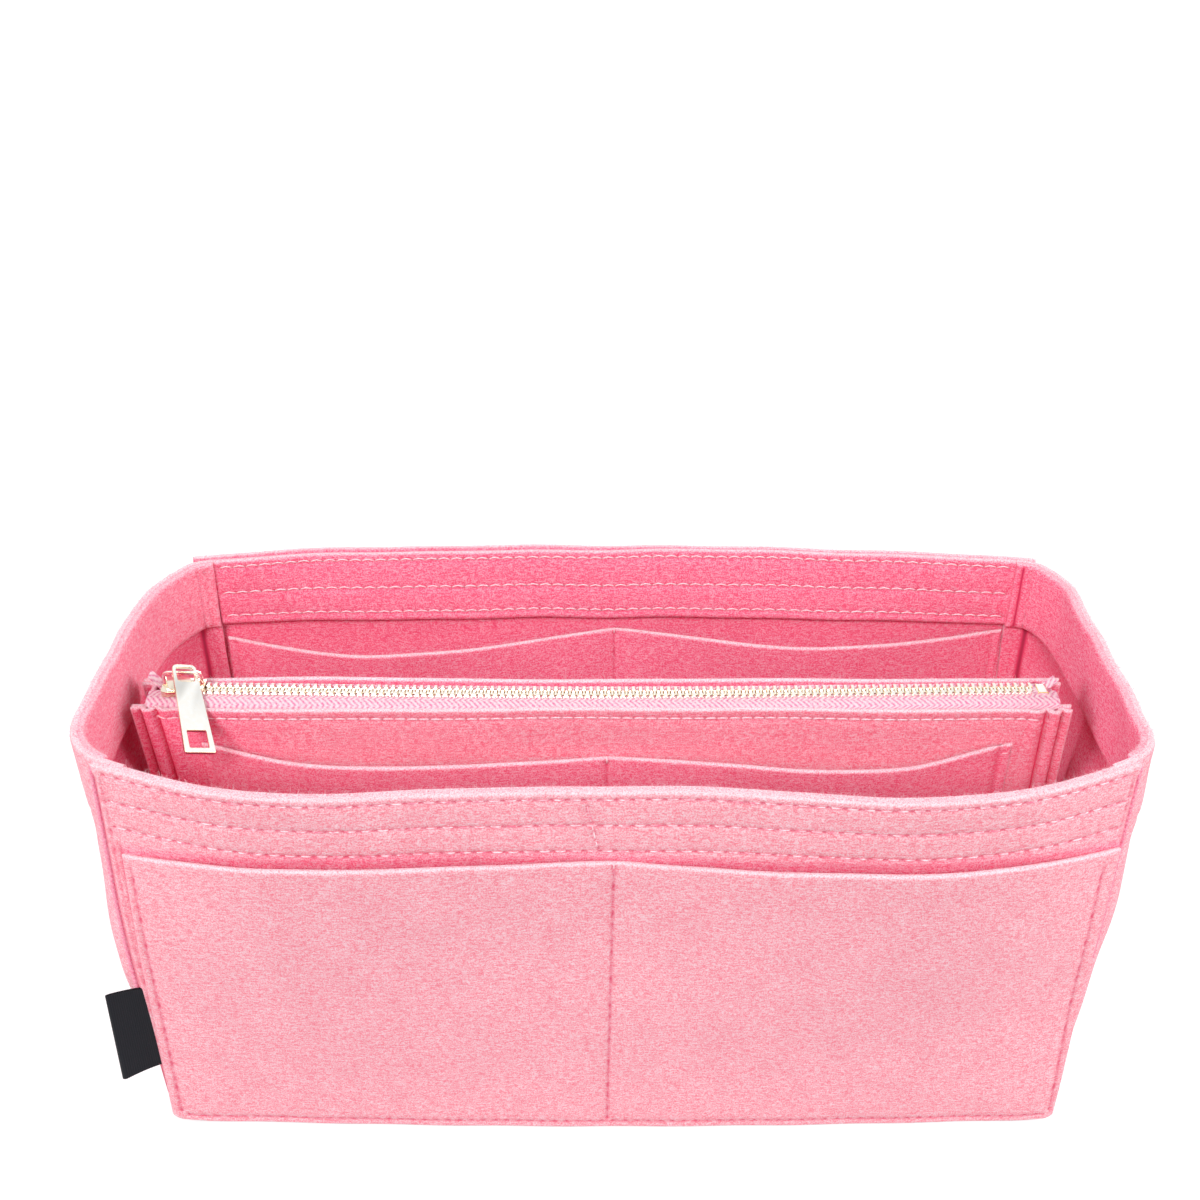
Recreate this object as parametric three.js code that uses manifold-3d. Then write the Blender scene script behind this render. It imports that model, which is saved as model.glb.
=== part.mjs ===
// A felt organizer that stands inside a handbag: a soft open tub with a zipped pouch across its middle.
// Millimetres, +Z up. The origin is the middle of the underside, +X runs along the length and the
// front wall faces -Y.
import * as THREE from 'three';
import { mergeVertices } from 'three/addons/utils/BufferGeometryUtils.js';
import Module from 'manifold-3d';

const wasm = await Module();
wasm.setup();

// Felt and seams
const felt = 2.2;
const seamGap = 0.3;
const buttGap = 1.2;

// Tub
const tubLength = 330;
const tubDepth = 140;
const tubHeight = 162;
const flangeWidth = 8;
const facingDepth = 28;
const baseLip = 8;

// How far each wall stands out from its straight line at the rim
const frontBow = 22;
const frontLobe = 8;
const frontShoulder = 1.5;
const frontLean = 1;
const frontBaseBow = 4;
const backBow = 5;
const backFlare = 6;
const leftBow = 15;
const rightBow = 9;

// Pockets
const outerPocketRise = 0.5;
const outerPocketFall = 4.5;
const outerPocketLeftInset = 5;
const outerPocketRightInset = 1;
const outerPocketGape = 1.2;
const backPocketDrop = 4;
const backPocketScoop = 6;
const backPocketGape = 8;
const pouchPocketLeftInset = 24;
const pouchPocketRightInset = 18.5;
const pouchPocketRise = 7.5;
const pouchPocketEndDrop = 14;
const pouchPocketMiddleDrop = 18.5;
const pouchPocketScoop = 1.5;
const pouchPocketGape = 7;

// Pouch
const pouchCentre = -2;
const pouchWidth = 22;
const pouchDrop = 17;
const pouchFootInset = 5.5;
const pouchLeftOverhang = 7;
const pouchRightInset = 3.5;
const pouchFlange = 4;
const creaseWidth = 14;

// Zip chain; heights are measured from the middle of the teeth
const chainRise = 1.3;
const toothPitch = 2.54;
const toothHead = 0.95;
const toothJaw = 1.3;
const toothHeight = 2.3;
const toothOverlap = 0.6;
const toothReach = 2.9;
const cordInner = 1.35;
const cordOuter = 2.25;
const cordHeight = 0.9;
const tapeThickness = 0.6;
const tapeFlat = 6;
const tapeTurnDown = 8.5;
const stopLength = 2;
const bottomStopLength = 3.8;
const bottomStopInset = 11;

// Zip slider and pull
const sliderInset = 17.5;
const sliderLength = 15;
const sliderShoulder = 5.5;
const sliderTail = 4.4;
const sliderPlate = 1.2;
const sliderChannel = 3;
const sliderWall = 1.1;
const sliderSlot = 1.4;
const wedgeLength = 3.4;
const wedgeWidth = 2;
const wedgeInset = 0.5;
const bridgeHeight = 4.8;
const bridgeReach = 7.3;
const bridgeLeg = 1.3;
const bridgeWidth = 1.1;
const bridgeBar = 1;
const pullThickness = 1.2;
const pullLength = 35;
const pullWidth = 10.9;
const ringWidth = 8.6;
const ringHole = 6.2;
const ringEnd = 3.2;
const ringBar = 1.2;
const ringHoleEnd = 4.4;
const windowWidth = 6.8;
const windowLength = 7.4;
const windowMargin = 2;
const pullOffset = 1;
const pullHang = THREE.MathUtils.degToRad(24);
const pullTwist = THREE.MathUtils.degToRad(27);
const pullSkew = THREE.MathUtils.degToRad(17);

// Label
const labelReach = 14;
const labelBottom = 26;
const labelHeight = 37;
const labelRibbon = 0.45;
const labelFold = 0.5;

// Places that follow from the sizes above
const halfLength = tubLength / 2;
const halfDepth = tubDepth / 2;
const facingBottom = tubHeight - facingDepth;
const outerPocketHeight = facingBottom + outerPocketRise;
const backPocketHeight = facingBottom - backPocketDrop;
const pouchTop = tubHeight - pouchDrop;
const pouchBottom = felt + seamGap;
const pouchFoot = halfLength - pouchFootInset;
const pouchLeftReach = halfLength + pouchLeftOverhang;
const pouchRightReach = halfLength - pouchRightInset;
const pouchFrontFace = pouchCentre - pouchWidth / 2;
const pouchBackFace = pouchCentre + pouchWidth / 2;
const pouchPocketLeft = pouchPocketLeftInset - pouchLeftReach;
const pouchPocketRight = pouchRightReach - pouchPocketRightInset;
const pouchPocketEnds = pouchTop - pouchPocketEndDrop;
const pouchPocketMiddle = pouchTop - pouchPocketMiddleDrop;
const chainZ = pouchTop + chainRise;
const sliderX = sliderInset - pouchLeftReach;
const bottomStopX = pouchRightReach - bottomStopInset;
const wedgeEnd = sliderX - sliderLength / 2 + wedgeInset + wedgeLength;
const firstTooth = wedgeEnd + seamGap + toothJaw / 2;
const toothCount = Math.floor((bottomStopX - seamGap - toothJaw / 2 - firstTooth) / toothPitch);
const plateTop = sliderChannel / 2 + sliderPlate;

const { lerp, smoothstep } = THREE.MathUtils;

// Materials
const feltPink = material('#f58aa2', 0.95, 0);
const tapeLilac = material('#e39cc0', 0.85, 0);
const paleGold = material('#ead9ad', 0.28, 1);
const ribbonBlack = material('#1b1b1f', 0.7, 0);

function material(color, roughness, metalness) {
  return new THREE.MeshStandardMaterial({ color, roughness, metalness });
}

// Closed sheet over a grid: pointAt(u, v, side) gives a corner, with side 0 and 1 for its two faces.
function sheet(columns, rows, pointAt) {
  const positions = [];
  for (let side = 0; side < 2; side++) {
    for (let j = 0; j <= rows; j++) {
      for (let i = 0; i <= columns; i++) {
        positions.push(...pointAt(i / columns, j / rows, side));
      }
    }
  }
  const at = (i, j, side) => (side * (rows + 1) + j) * (columns + 1) + i;
  const index = [];
  const quad = (a, b, c, d) => index.push(a, b, c, a, c, d);
  for (let j = 0; j < rows; j++) {
    for (let i = 0; i < columns; i++) {
      quad(at(i, j, 0), at(i + 1, j, 0), at(i + 1, j + 1, 0), at(i, j + 1, 0));
      quad(at(i, j, 1), at(i, j + 1, 1), at(i + 1, j + 1, 1), at(i + 1, j, 1));
    }
  }
  for (let i = 0; i < columns; i++) {
    quad(at(i + 1, 0, 0), at(i, 0, 0), at(i, 0, 1), at(i + 1, 0, 1));
    quad(at(i, rows, 0), at(i + 1, rows, 0), at(i + 1, rows, 1), at(i, rows, 1));
  }
  for (let j = 0; j < rows; j++) {
    quad(at(0, j, 0), at(0, j + 1, 0), at(0, j + 1, 1), at(0, j, 1));
    quad(at(columns, j + 1, 0), at(columns, j, 0), at(columns, j, 1), at(columns, j + 1, 1));
  }
  return facingOut(positions, index);
}

// Turns the triangles round where the closed mesh would be inside out.
function facingOut(positions, index) {
  const corner = (k) => new THREE.Vector3().fromArray(positions, 3 * index[k]);
  let volume = 0;
  for (let k = 0; k < index.length; k += 3) {
    volume += corner(k).dot(corner(k + 1).cross(corner(k + 2)));
  }
  const geometry = new THREE.BufferGeometry();
  geometry.setAttribute('position', new THREE.Float32BufferAttribute(positions, 3));
  geometry.setIndex(volume > 0 ? index : index.toReversed());
  return geometry;
}

// Moves a plan path to its right by a distance, with mitred corners.
function offsetPath(path, distance) {
  const normalOf = (a, b) => {
    const length = Math.hypot(b[0] - a[0], b[1] - a[1]);
    return [(b[1] - a[1]) / length, (a[0] - b[0]) / length];
  };
  return path.map((point, i) => {
    const before = normalOf(path[Math.max(i - 1, 0)], path[Math.max(i, 1)]);
    const last = path.length - 1;
    const after = normalOf(path[Math.min(i, last - 1)], path[Math.min(i + 1, last)]);
    const mitre = 1 + before[0] * after[0] + before[1] * after[1];
    return [
      point[0] + (before[0] + after[0]) * distance / mitre,
      point[1] + (before[1] + after[1]) * distance / mitre,
    ];
  });
}

// Closed wall between two offsets of a plan path that changes with height.
function wall(pathAt, near, thickness, bottom, top, rows, flip = 1) {
  const columns = pathAt(bottom).length - 1;
  return sheet(columns, rows, (u, v, side) => {
    const z = lerp(bottom, top, v);
    const [x, y] = offsetPath(pathAt(z), near + side * thickness)[Math.round(u * columns)];
    return [flip * x, y, z];
  });
}

// Solid of a flat outline in the YZ plane, carried along X.
function alongX(shape, start, end) {
  const geometry = new THREE.ExtrudeGeometry(shape, { depth: end - start, bevelEnabled: false });
  const turn = new THREE.Matrix4().makeBasis(
    new THREE.Vector3(0, 1, 0), new THREE.Vector3(0, 0, 1), new THREE.Vector3(1, 0, 0));
  return geometry.applyMatrix4(turn).translate(start, 0, 0);
}

// Solid of a flat outline in the XY plane, carried up from one height to another.
function upZ(shape, bottom, top) {
  const geometry = new THREE.ExtrudeGeometry(shape, { depth: top - bottom, bevelEnabled: false });
  return geometry.translate(0, 0, bottom);
}

function box(x0, x1, y0, y1, z0, z1) {
  const geometry = new THREE.BoxGeometry(x1 - x0, y1 - y0, z1 - z0);
  return geometry.translate((x0 + x1) / 2, (y0 + y1) / 2, (z0 + z1) / 2);
}

function outline(points) {
  return new THREE.Shape(points.map(([x, y]) => new THREE.Vector2(x, y)));
}

function toSolid(geometry) {
  const bare = geometry.clone();
  bare.deleteAttribute('normal');
  bare.deleteAttribute('uv');
  const merged = mergeVertices(bare, 1e-4);
  const vertProperties = new Float32Array(merged.attributes.position.array);
  const triVerts = new Uint32Array(merged.index.array);
  return new wasm.Manifold(new wasm.Mesh({ numProp: 3, vertProperties, triVerts }));
}

function toGeometry(solid) {
  const mesh = solid.getMesh();
  const geometry = new THREE.BufferGeometry();
  geometry.setAttribute('position', new THREE.Float32BufferAttribute(mesh.vertProperties, 3));
  geometry.setIndex([...mesh.triVerts]);
  return geometry;
}

// Outer face of the front wall: it bows out in two lobes, more so towards the rim.
function frontFace(x, z) {
  const s = Math.PI * x / tubLength;
  const rise = Math.pow(z / tubHeight, 1.2);
  const lobes = frontLean * Math.sin(2 * s) - frontLobe * Math.cos(3 * s) + frontShoulder * Math.cos(5 * s);
  const rimBow = frontBow * Math.cos(s) + lobes;
  return -halfDepth - lerp(frontBaseBow * Math.cos(s), rimBow, rise);
}

// Outer face of the back wall: one shallow bow, with the rim flared out a little more.
function backFace(x, z) {
  const bow = backBow * Math.cos(Math.PI * x / tubLength) * z / tubHeight;
  return halfDepth + bow + backFlare * (1 - Math.pow(x / halfLength, 4)) * Math.pow(z / tubHeight, 5);
}

// Distance of the pouch's end from the middle of the tub.
function pouchEnd(reach, z) {
  return lerp(pouchFoot, reach, (z - pouchBottom) / (pouchTop - pouchBottom));
}

const leftSide = { flip: 1, bow: leftBow, frontPower: 8, backPower: 3.5, reach: pouchLeftReach };
const rightSide = { flip: -1, bow: rightBow, frontPower: 10, backPower: 6, reach: pouchRightReach };

// Outer face of a side wall in plan, drawn for the left end: along its front flange, round the wall
// and along its back flange. Below the facing the wall is drawn in to the pouch's seam.
function sidePath(side, z) {
  const frontSteps = 8;
  const backSteps = 11;
  const layer = felt + seamGap;
  const swell = side.bow * (1 - Math.pow(1 - z / tubHeight, 4));
  const seamY = pouchFrontFace + felt + seamGap / 2;
  const half = halfDepth - layer;
  const bulged = (y) => {
    const s = Math.abs(y) / half;
    return -halfLength - swell * (1 - Math.pow(s, y < 0 ? side.frontPower : side.backPower));
  };
  const drawn = smoothstep(z, baseLip, pouchTop * 0.25) * (1 - smoothstep(z, pouchTop * 0.58, facingBottom));
  const pulled = (-pouchEnd(side.reach, z) - layer - bulged(seamY)) * drawn;
  const flangeX = -halfLength + flangeWidth;
  const path = [[flangeX, frontFace(flangeX, z) + layer]];
  for (let i = 0; i <= frontSteps + backSteps; i++) {
    const y = i < frontSteps
      ? lerp(-half, seamY, i / frontSteps)
      : lerp(seamY, half, (i - frontSteps) / backSteps);
    path.push([bulged(y) + pulled * Math.exp(-Math.pow((y - seamY) / creaseWidth, 2)), y]);
  }
  path.push([flangeX, backFace(flangeX, z) - layer]);
  return path;
}

const group = new THREE.Group();

function add(name, geometry, look) {
  const mesh = new THREE.Mesh(geometry, look);
  mesh.name = name;
  group.add(mesh);
  return mesh;
}

// Long wall layer between two depths measured in from the outer face, over a stretch of the length.
function longWall(face, inward, depth, halfSpan, bottom, top, rows) {
  return sheet(36, rows, (u, v, side) => {
    const x = lerp(-halfSpan, halfSpan, u);
    const z = lerp(bottom, top, v);
    return [x, face(x, z) + inward * (depth + side * felt), z];
  });
}

// Patch pocket sewn down at its ends, foot and middle, so that it gapes in two halves at the top.
function patchPocket(left, right, bottom, topAt, gape, surfaceAt, outward) {
  const middle = (left + right) / 2;
  const half = (right - left) / 2;
  return sheet(36, 6, (u, v, side) => {
    const x = lerp(left, right, u);
    const s = Math.abs(x - middle) / half;
    const z = lerp(bottom, topAt(s), v);
    const away = seamGap + gape * Math.sin(Math.PI * s) * Math.pow(v, 1.5) + side * felt;
    return [x, surfaceAt(x, z) + outward * away, z];
  });
}

// Floor with its lips turned up behind the walls, notched where the side walls' flanges stand.
function basePanel() {
  const layer = felt + seamGap;
  const span = halfLength - flangeWidth - buttGap;
  const endX = halfLength - layer;
  const endY = halfDepth - 2 * layer - buttGap;
  const steps = 16;
  const edge = [];
  for (let i = 0; i <= steps; i++) {
    const x = lerp(-span, span, i / steps);
    edge.push([x, frontFace(x, 0) + layer]);
  }
  edge.push([span, -endY], [endX, -endY], [endX, endY], [span, endY]);
  edge.push([span, halfDepth - layer], [-span, halfDepth - layer], [-span, endY]);
  edge.push([-endX, endY], [-endX, -endY], [-span, -endY]);
  let solid = toSolid(upZ(outline(edge), 0, felt));
  solid = solid.add(toSolid(longWall(frontFace, 1, layer, span, 0, baseLip, 2)));
  solid = solid.add(toSolid(longWall(backFace, -1, layer, span, 0, baseLip, 2)));
  solid = solid.add(toSolid(box(-endX, -endX + felt, -endY, endY, 0, baseLip)));
  solid = solid.add(toSolid(box(endX - felt, endX, -endY, endY, 0, baseLip)));
  return toGeometry(solid);
}

// Flat long panel of the pouch; its ends lean with the pouch's ends.
function pouchPanel(outerFace, inward) {
  return sheet(1, 1, (u, v, side) => {
    const z = lerp(pouchBottom, pouchTop, v);
    const x = lerp(-pouchEnd(pouchLeftReach, z), pouchEnd(pouchRightReach, z), u);
    return [x, outerFace + inward * side * felt, z];
  });
}

// End gusset of the pouch: a web with two flanges turned out to lie against the long panels.
function pouchGusset(side) {
  const layer = felt + seamGap;
  const pathAt = (z) => {
    const tip = -pouchEnd(side.reach, z);
    const web = tip + pouchFlange + felt;
    return [
      [tip, pouchFrontFace + layer + felt], [web - felt, pouchFrontFace + layer + felt],
      [web - felt, pouchBackFace - layer - felt], [tip, pouchBackFace - layer - felt],
    ];
  };
  return wall(pathAt, 0, felt, pouchBottom, pouchTop, 1, side.flip);
}

function pouchBottomStrip() {
  const inset = pouchFlange + felt + seamGap;
  const y0 = pouchFrontFace + felt + seamGap;
  const y1 = pouchBackFace - felt - seamGap;
  const leftX = -pouchEnd(pouchLeftReach, pouchBottom) + inset;
  const rightX = pouchEnd(pouchRightReach, pouchBottom) - inset;
  return box(leftX, rightX, y0, y1, pouchBottom, pouchBottom + felt);
}

// Half of the zip's tape: flat beside the teeth, then turned down inside the pouch's panel.
function zipTape(sign) {
  const edge = toothReach + seamGap;
  const turned = pouchWidth / 2 - felt - seamGap;
  const thin = tapeThickness;
  const section = [
    [edge, thin / 2], [tapeFlat, thin / 2], [turned, -chainRise], [turned, -tapeTurnDown],
    [turned - thin, -tapeTurnDown], [turned - thin, -chainRise - thin / 2],
    [tapeFlat, -thin / 2], [edge, -thin / 2],
  ].map(([y, z]) => [pouchCentre + sign * y, chainZ + z]);
  const endInset = pouchFlange + felt + seamGap;
  const lowest = chainZ - tapeTurnDown;
  const left = -pouchEnd(pouchLeftReach, lowest) + endInset;
  const right = pouchEnd(pouchRightReach, lowest) - endInset;
  return alongX(outline(section), left, right);
}

// One row of teeth, each clamped round the bead cord of its tape.
function zipTeeth(sign, shift) {
  const y = (value) => pouchCentre + sign * value;
  const tooth = outline([
    [-toothHead / 2, y(-toothOverlap)], [toothHead / 2, y(-toothOverlap)],
    [toothJaw / 2, y(toothReach)], [-toothJaw / 2, y(toothReach)],
  ]);
  const lowY = Math.min(y(cordInner), y(cordOuter));
  const highY = Math.max(y(cordInner), y(cordOuter));
  const cordEnd = bottomStopX - seamGap;
  const cord = box(
    firstTooth - toothPitch, cordEnd, lowY, highY, chainZ - cordHeight / 2, chainZ + cordHeight / 2);
  let row = toSolid(cord);
  const bottom = chainZ - toothHeight / 2;
  for (let i = 0; i < toothCount; i++) {
    const single = upZ(tooth, bottom, bottom + toothHeight);
    row = row.add(toSolid(single.translate(firstTooth + shift + i * toothPitch, 0, 0)));
  }
  return toGeometry(row);
}

// Stop that is clamped on one tape where its bead cord ends.
function zipTopStop(sign) {
  const y0 = pouchCentre + sign * (wedgeWidth / 2 + seamGap);
  const y1 = pouchCentre + sign * toothReach;
  const end = firstTooth - toothPitch - seamGap;
  return box(
    end - stopLength, end, Math.min(y0, y1), Math.max(y0, y1),
    chainZ - toothHeight / 2, chainZ + toothHeight / 2);
}

function zipBottomStop() {
  return box(
    bottomStopX, bottomStopX + bottomStopLength, pouchCentre - toothReach, pouchCentre + toothReach,
    chainZ - toothHeight / 2, chainZ + toothHeight / 2);
}

// Shield outline of the slider's plates, wide at the shoulder and narrow at the tail.
function sliderOutline() {
  const end = sliderLength / 2;
  const shape = new THREE.Shape();
  shape.moveTo(-end, -sliderShoulder * 0.6);
  shape.quadraticCurveTo(-end, -sliderShoulder, -end * 0.7, -sliderShoulder);
  shape.bezierCurveTo(0, -sliderShoulder, 0, -sliderTail, end * 0.55, -sliderTail);
  shape.quadraticCurveTo(end, -sliderTail, end, -sliderTail * 0.6);
  shape.lineTo(end, sliderTail * 0.6);
  shape.quadraticCurveTo(end, sliderTail, end * 0.55, sliderTail);
  shape.bezierCurveTo(0, sliderTail, 0, sliderShoulder, -end * 0.7, sliderShoulder);
  shape.quadraticCurveTo(-end, sliderShoulder, -end, sliderShoulder * 0.6);
  return shape;
}

// Slider casting: two plates with side walls, a slot for the tapes, the wedge that parts the teeth
// and a bridge over the top plate. It is drawn about its own middle.
function zipSlider() {
  const end = sliderLength / 2;
  const shoulder = sliderShoulder - sliderWall;
  const tail = sliderTail - sliderWall;
  const past = sliderLength;
  const curve = { depth: 2 * plateTop, bevelEnabled: false, curveSegments: 4 };
  const block = new THREE.ExtrudeGeometry(sliderOutline(), curve).translate(0, 0, -plateTop);
  const channel = outline([
    [-past, -shoulder], [-end * 0.5, -shoulder], [end * 0.2, -tail], [past, -tail],
    [past, tail], [end * 0.2, tail], [-end * 0.5, shoulder], [-past, shoulder],
  ]);
  const halfChannel = sliderChannel / 2;
  const slot = box(-past, past, -past, past, -sliderSlot / 2, sliderSlot / 2);
  const wedgeStart = -end + wedgeInset;
  const wedge = outline([
    [wedgeStart, 0], [wedgeStart + wedgeLength / 2, -wedgeWidth / 2],
    [wedgeStart + wedgeLength, 0], [wedgeStart + wedgeLength / 2, wedgeWidth / 2],
  ]);
  const rootIn = sliderPlate / 2;
  const barTop = plateTop + bridgeHeight + bridgeBar / 2;
  const barUnder = barTop - bridgeBar;
  const arch = new THREE.Shape();
  arch.moveTo(-bridgeReach, plateTop - rootIn);
  arch.lineTo(-bridgeReach, barUnder - bridgeBar);
  arch.quadraticCurveTo(-bridgeReach, barTop, -bridgeReach + 2 * bridgeLeg, barTop);
  arch.lineTo(bridgeReach - 2 * bridgeLeg, barTop);
  arch.quadraticCurveTo(bridgeReach, barTop, bridgeReach, barUnder - bridgeBar);
  arch.lineTo(bridgeReach, plateTop - rootIn);
  arch.lineTo(bridgeReach - bridgeLeg, plateTop - rootIn);
  arch.lineTo(bridgeReach - bridgeLeg, barUnder - bridgeBar);
  arch.lineTo(bridgeReach - 1.5 * bridgeLeg, barUnder);
  arch.lineTo(-bridgeReach + 1.5 * bridgeLeg, barUnder);
  arch.lineTo(-bridgeReach + bridgeLeg, barUnder - bridgeBar);
  arch.lineTo(-bridgeReach + bridgeLeg, plateTop - rootIn);
  const archCurve = { depth: bridgeWidth, bevelEnabled: false, curveSegments: 4 };
  const bridge = new THREE.ExtrudeGeometry(arch, archCurve);
  bridge.translate(0, 0, -bridgeWidth / 2).rotateX(Math.PI / 2);
  const solid = toSolid(block)
    .subtract(toSolid(upZ(channel, -halfChannel, halfChannel)))
    .subtract(toSolid(slot))
    .add(toSolid(upZ(wedge, -halfChannel - rootIn, halfChannel + rootIn)))
    .add(toSolid(bridge));
  return toGeometry(solid);
}

// Pull tab lying in the XY plane, its ring round the origin and its window at the far end, along -Y.
function zipPull() {
  const half = ringWidth / 2;
  const round = half * 0.5;
  const tip = -pullLength;
  const corner = 0.8;
  const shape = new THREE.Shape();
  shape.moveTo(-half, 0);
  shape.lineTo(-half, ringEnd - round);
  shape.quadraticCurveTo(-half, ringEnd, -half + round, ringEnd);
  shape.lineTo(half - round, ringEnd);
  shape.quadraticCurveTo(half, ringEnd, half, ringEnd - round);
  shape.lineTo(half, 0);
  shape.lineTo(pullWidth / 2, tip + corner);
  shape.quadraticCurveTo(pullWidth / 2, tip, pullWidth / 2 - corner, tip);
  shape.lineTo(-pullWidth / 2 + corner, tip);
  shape.quadraticCurveTo(-pullWidth / 2, tip, -pullWidth / 2, tip + corner);
  shape.closePath();
  const holeTop = ringEnd - ringBar;
  shape.holes.push(roundedHole(ringHole / 2, -ringHoleEnd, holeTop, ringBar));
  const windowTip = tip + windowMargin;
  shape.holes.push(roundedHole(windowWidth / 2, windowTip, windowTip + windowLength, corner / 2));
  const curve = { depth: pullThickness, bevelEnabled: false, curveSegments: 3 };
  return new THREE.ExtrudeGeometry(shape, curve).translate(0, 0, -pullThickness / 2);
}

function roundedHole(half, low, high, round) {
  const hole = new THREE.Path();
  hole.moveTo(half, low + round);
  hole.lineTo(half, high - round);
  hole.quadraticCurveTo(half, high, half - round, high);
  hole.lineTo(-half + round, high);
  hole.quadraticCurveTo(-half, high, -half, high - round);
  hole.lineTo(-half, low + round);
  hole.quadraticCurveTo(-half, low, -half + round, low);
  hole.lineTo(half - round, low);
  hole.quadraticCurveTo(half, low, half, low + round);
  return hole;
}

// Ribbon folded double, standing out of the front left seam.
function sideLabel() {
  const root = -halfLength - seamGap;
  const tip = root - labelReach;
  const front = -halfDepth + labelRibbon;
  const back = front + labelFold;
  const pathAt = () => [
    [root, back], [tip + labelFold, back], [tip, (front + back) / 2], [tip + labelFold, front], [root, front],
  ];
  return wall(pathAt, 0, labelRibbon, labelBottom, labelBottom + labelHeight, 1);
}

// Tub
const layer = felt + seamGap;
const facingSpan = halfLength - flangeWidth - buttGap;
add('front_panel', longWall(frontFace, 1, 0, halfLength, 0, tubHeight, 8), feltPink);
add('back_panel', longWall(backFace, -1, 0, halfLength, 0, tubHeight, 6), feltPink);
add('base_panel', basePanel(), feltPink);
add('front_rim_facing', longWall(frontFace, 1, layer, facingSpan, facingBottom, tubHeight, 2), feltPink);
add('back_rim_facing', longWall(backFace, -1, layer, facingSpan, facingBottom, tubHeight, 1), feltPink);
for (const [name, side] of [['left', leftSide], ['right', rightSide]]) {
  const pathAt = (z) => sidePath(side, z);
  add(`${name}_side_panel`, wall(pathAt, 0, felt, 0, tubHeight, 10, side.flip), feltPink);
  add(`${name}_rim_facing`, wall(pathAt, layer, felt, facingBottom, tubHeight, 1, side.flip), feltPink);
  add(`pouch_${name}_gusset`, pouchGusset(side), feltPink);
}
add('side_label', sideLabel(), ribbonBlack);

// Pockets of the tub
add('front_outer_pocket', patchPocket(
  outerPocketLeftInset - halfLength, halfLength - outerPocketRightInset, 0,
  (s) => outerPocketHeight - outerPocketFall * s ** 6, outerPocketGape, frontFace, -1), feltPink);
add('back_inner_pocket', patchPocket(
  -facingSpan, facingSpan, baseLip + seamGap,
  (s) => backPocketHeight - backPocketScoop * Math.sin(Math.PI * s) ** 2, backPocketGape,
  (x, z) => backFace(x, z) - felt, -1), feltPink);

// Pouch
add('pouch_front_panel', pouchPanel(pouchFrontFace, 1), feltPink);
add('pouch_back_panel', pouchPanel(pouchBackFace, -1), feltPink);
add('pouch_bottom_strip', pouchBottomStrip(), feltPink);
add('pouch_front_pocket', patchPocket(
  pouchPocketLeft, pouchPocketRight, pouchBottom + pouchPocketRise,
  (s) => lerp(pouchPocketMiddle, pouchPocketEnds, s * s) - pouchPocketScoop * Math.sin(Math.PI * s) ** 2,
  pouchPocketGape, () => pouchFrontFace, -1), feltPink);

// Zip
add('zip_tape_front', zipTape(-1), tapeLilac);
add('zip_tape_back', zipTape(1), tapeLilac);
add('zip_teeth_front', zipTeeth(-1, 0), paleGold);
add('zip_teeth_back', zipTeeth(1, toothPitch / 2), paleGold);
add('zip_top_stop_front', zipTopStop(-1), paleGold);
add('zip_top_stop_back', zipTopStop(1), paleGold);
add('zip_bottom_stop', zipBottomStop(), paleGold);
const slider = add('zip_slider', zipSlider(), paleGold);
slider.position.set(sliderX, pouchCentre, chainZ);

// The pull hangs on the bridge's bar, near its closed end, and lies over the front edge of the pouch.
const hanger = new THREE.Group();
hanger.position.set(sliderX + pullOffset, pouchCentre, chainZ + plateTop + bridgeHeight);
hanger.rotation.x = pullHang;
const pull = add('zip_pull', zipPull(), paleGold);
pull.rotation.set(0, pullTwist, pullSkew, 'ZYX');
hanger.add(pull);
group.add(hanger);

export default group;
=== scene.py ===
import bpy
import bmesh
import numpy as np
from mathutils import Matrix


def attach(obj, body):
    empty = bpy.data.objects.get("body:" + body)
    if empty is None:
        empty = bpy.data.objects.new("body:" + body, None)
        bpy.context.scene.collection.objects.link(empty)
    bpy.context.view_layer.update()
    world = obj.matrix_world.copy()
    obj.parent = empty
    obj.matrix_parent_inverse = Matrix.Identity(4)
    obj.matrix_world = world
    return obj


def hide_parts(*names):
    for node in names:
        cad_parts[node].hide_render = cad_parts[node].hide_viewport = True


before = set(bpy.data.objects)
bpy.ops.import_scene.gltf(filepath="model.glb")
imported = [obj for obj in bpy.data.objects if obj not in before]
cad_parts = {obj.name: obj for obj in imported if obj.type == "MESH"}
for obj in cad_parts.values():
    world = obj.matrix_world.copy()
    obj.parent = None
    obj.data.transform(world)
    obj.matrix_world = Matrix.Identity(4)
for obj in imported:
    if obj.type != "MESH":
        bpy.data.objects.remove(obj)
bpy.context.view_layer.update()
mm = 0.001
print("frame loaded")

# sizes shared by the felt pieces, in millimetres
tub = {
    "length": 330, "depth": 140, "height": 162, "felt": 2.2, "gap": 0.3, "flange": 8, "facing": 28, "lip": 8,
    "frontBow": 22, "frontLobe": 8, "frontShoulder": 1.5, "frontLean": 1, "frontBaseBow": 4,
    "backBow": 5, "backFlare": 6, "cornerRound": 3.5, "fold": 3.2, "crease": 14, "doubled": 2.5,
}
pouch = {
    "centre": -2, "width": 22, "top": 145, "bottom": 2.5, "flat": 330, "flange": 4,
    "foot": 159.5, "left": 172, "right": 161.5,
}
halfLength = tub["length"] / 2
halfDepth = tub["depth"] / 2
rim = tub["height"]
felt = tub["felt"]
layer = felt + tub["gap"]
doubled = tub["doubled"]
facingThick = doubled + tub["gap"]
facingFoot = rim - tub["facing"]
facingTop = rim - 0.15
facingEnd = halfLength - tub["flange"] - 1.2
butt = halfLength - tub["flange"]
pouchFront = pouch["centre"] - pouch["width"] / 2
pouchBack = pouch["centre"] + pouch["width"] / 2
stitch = 5.0  # usual stitch length
# unbroken lines have no stitches and carry only painted shade, along creases and under layers
unbroken = 1e6  # stitch length of a crease, which has no stitches
uvScale = 0.01  # uv units in a millimetre


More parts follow.
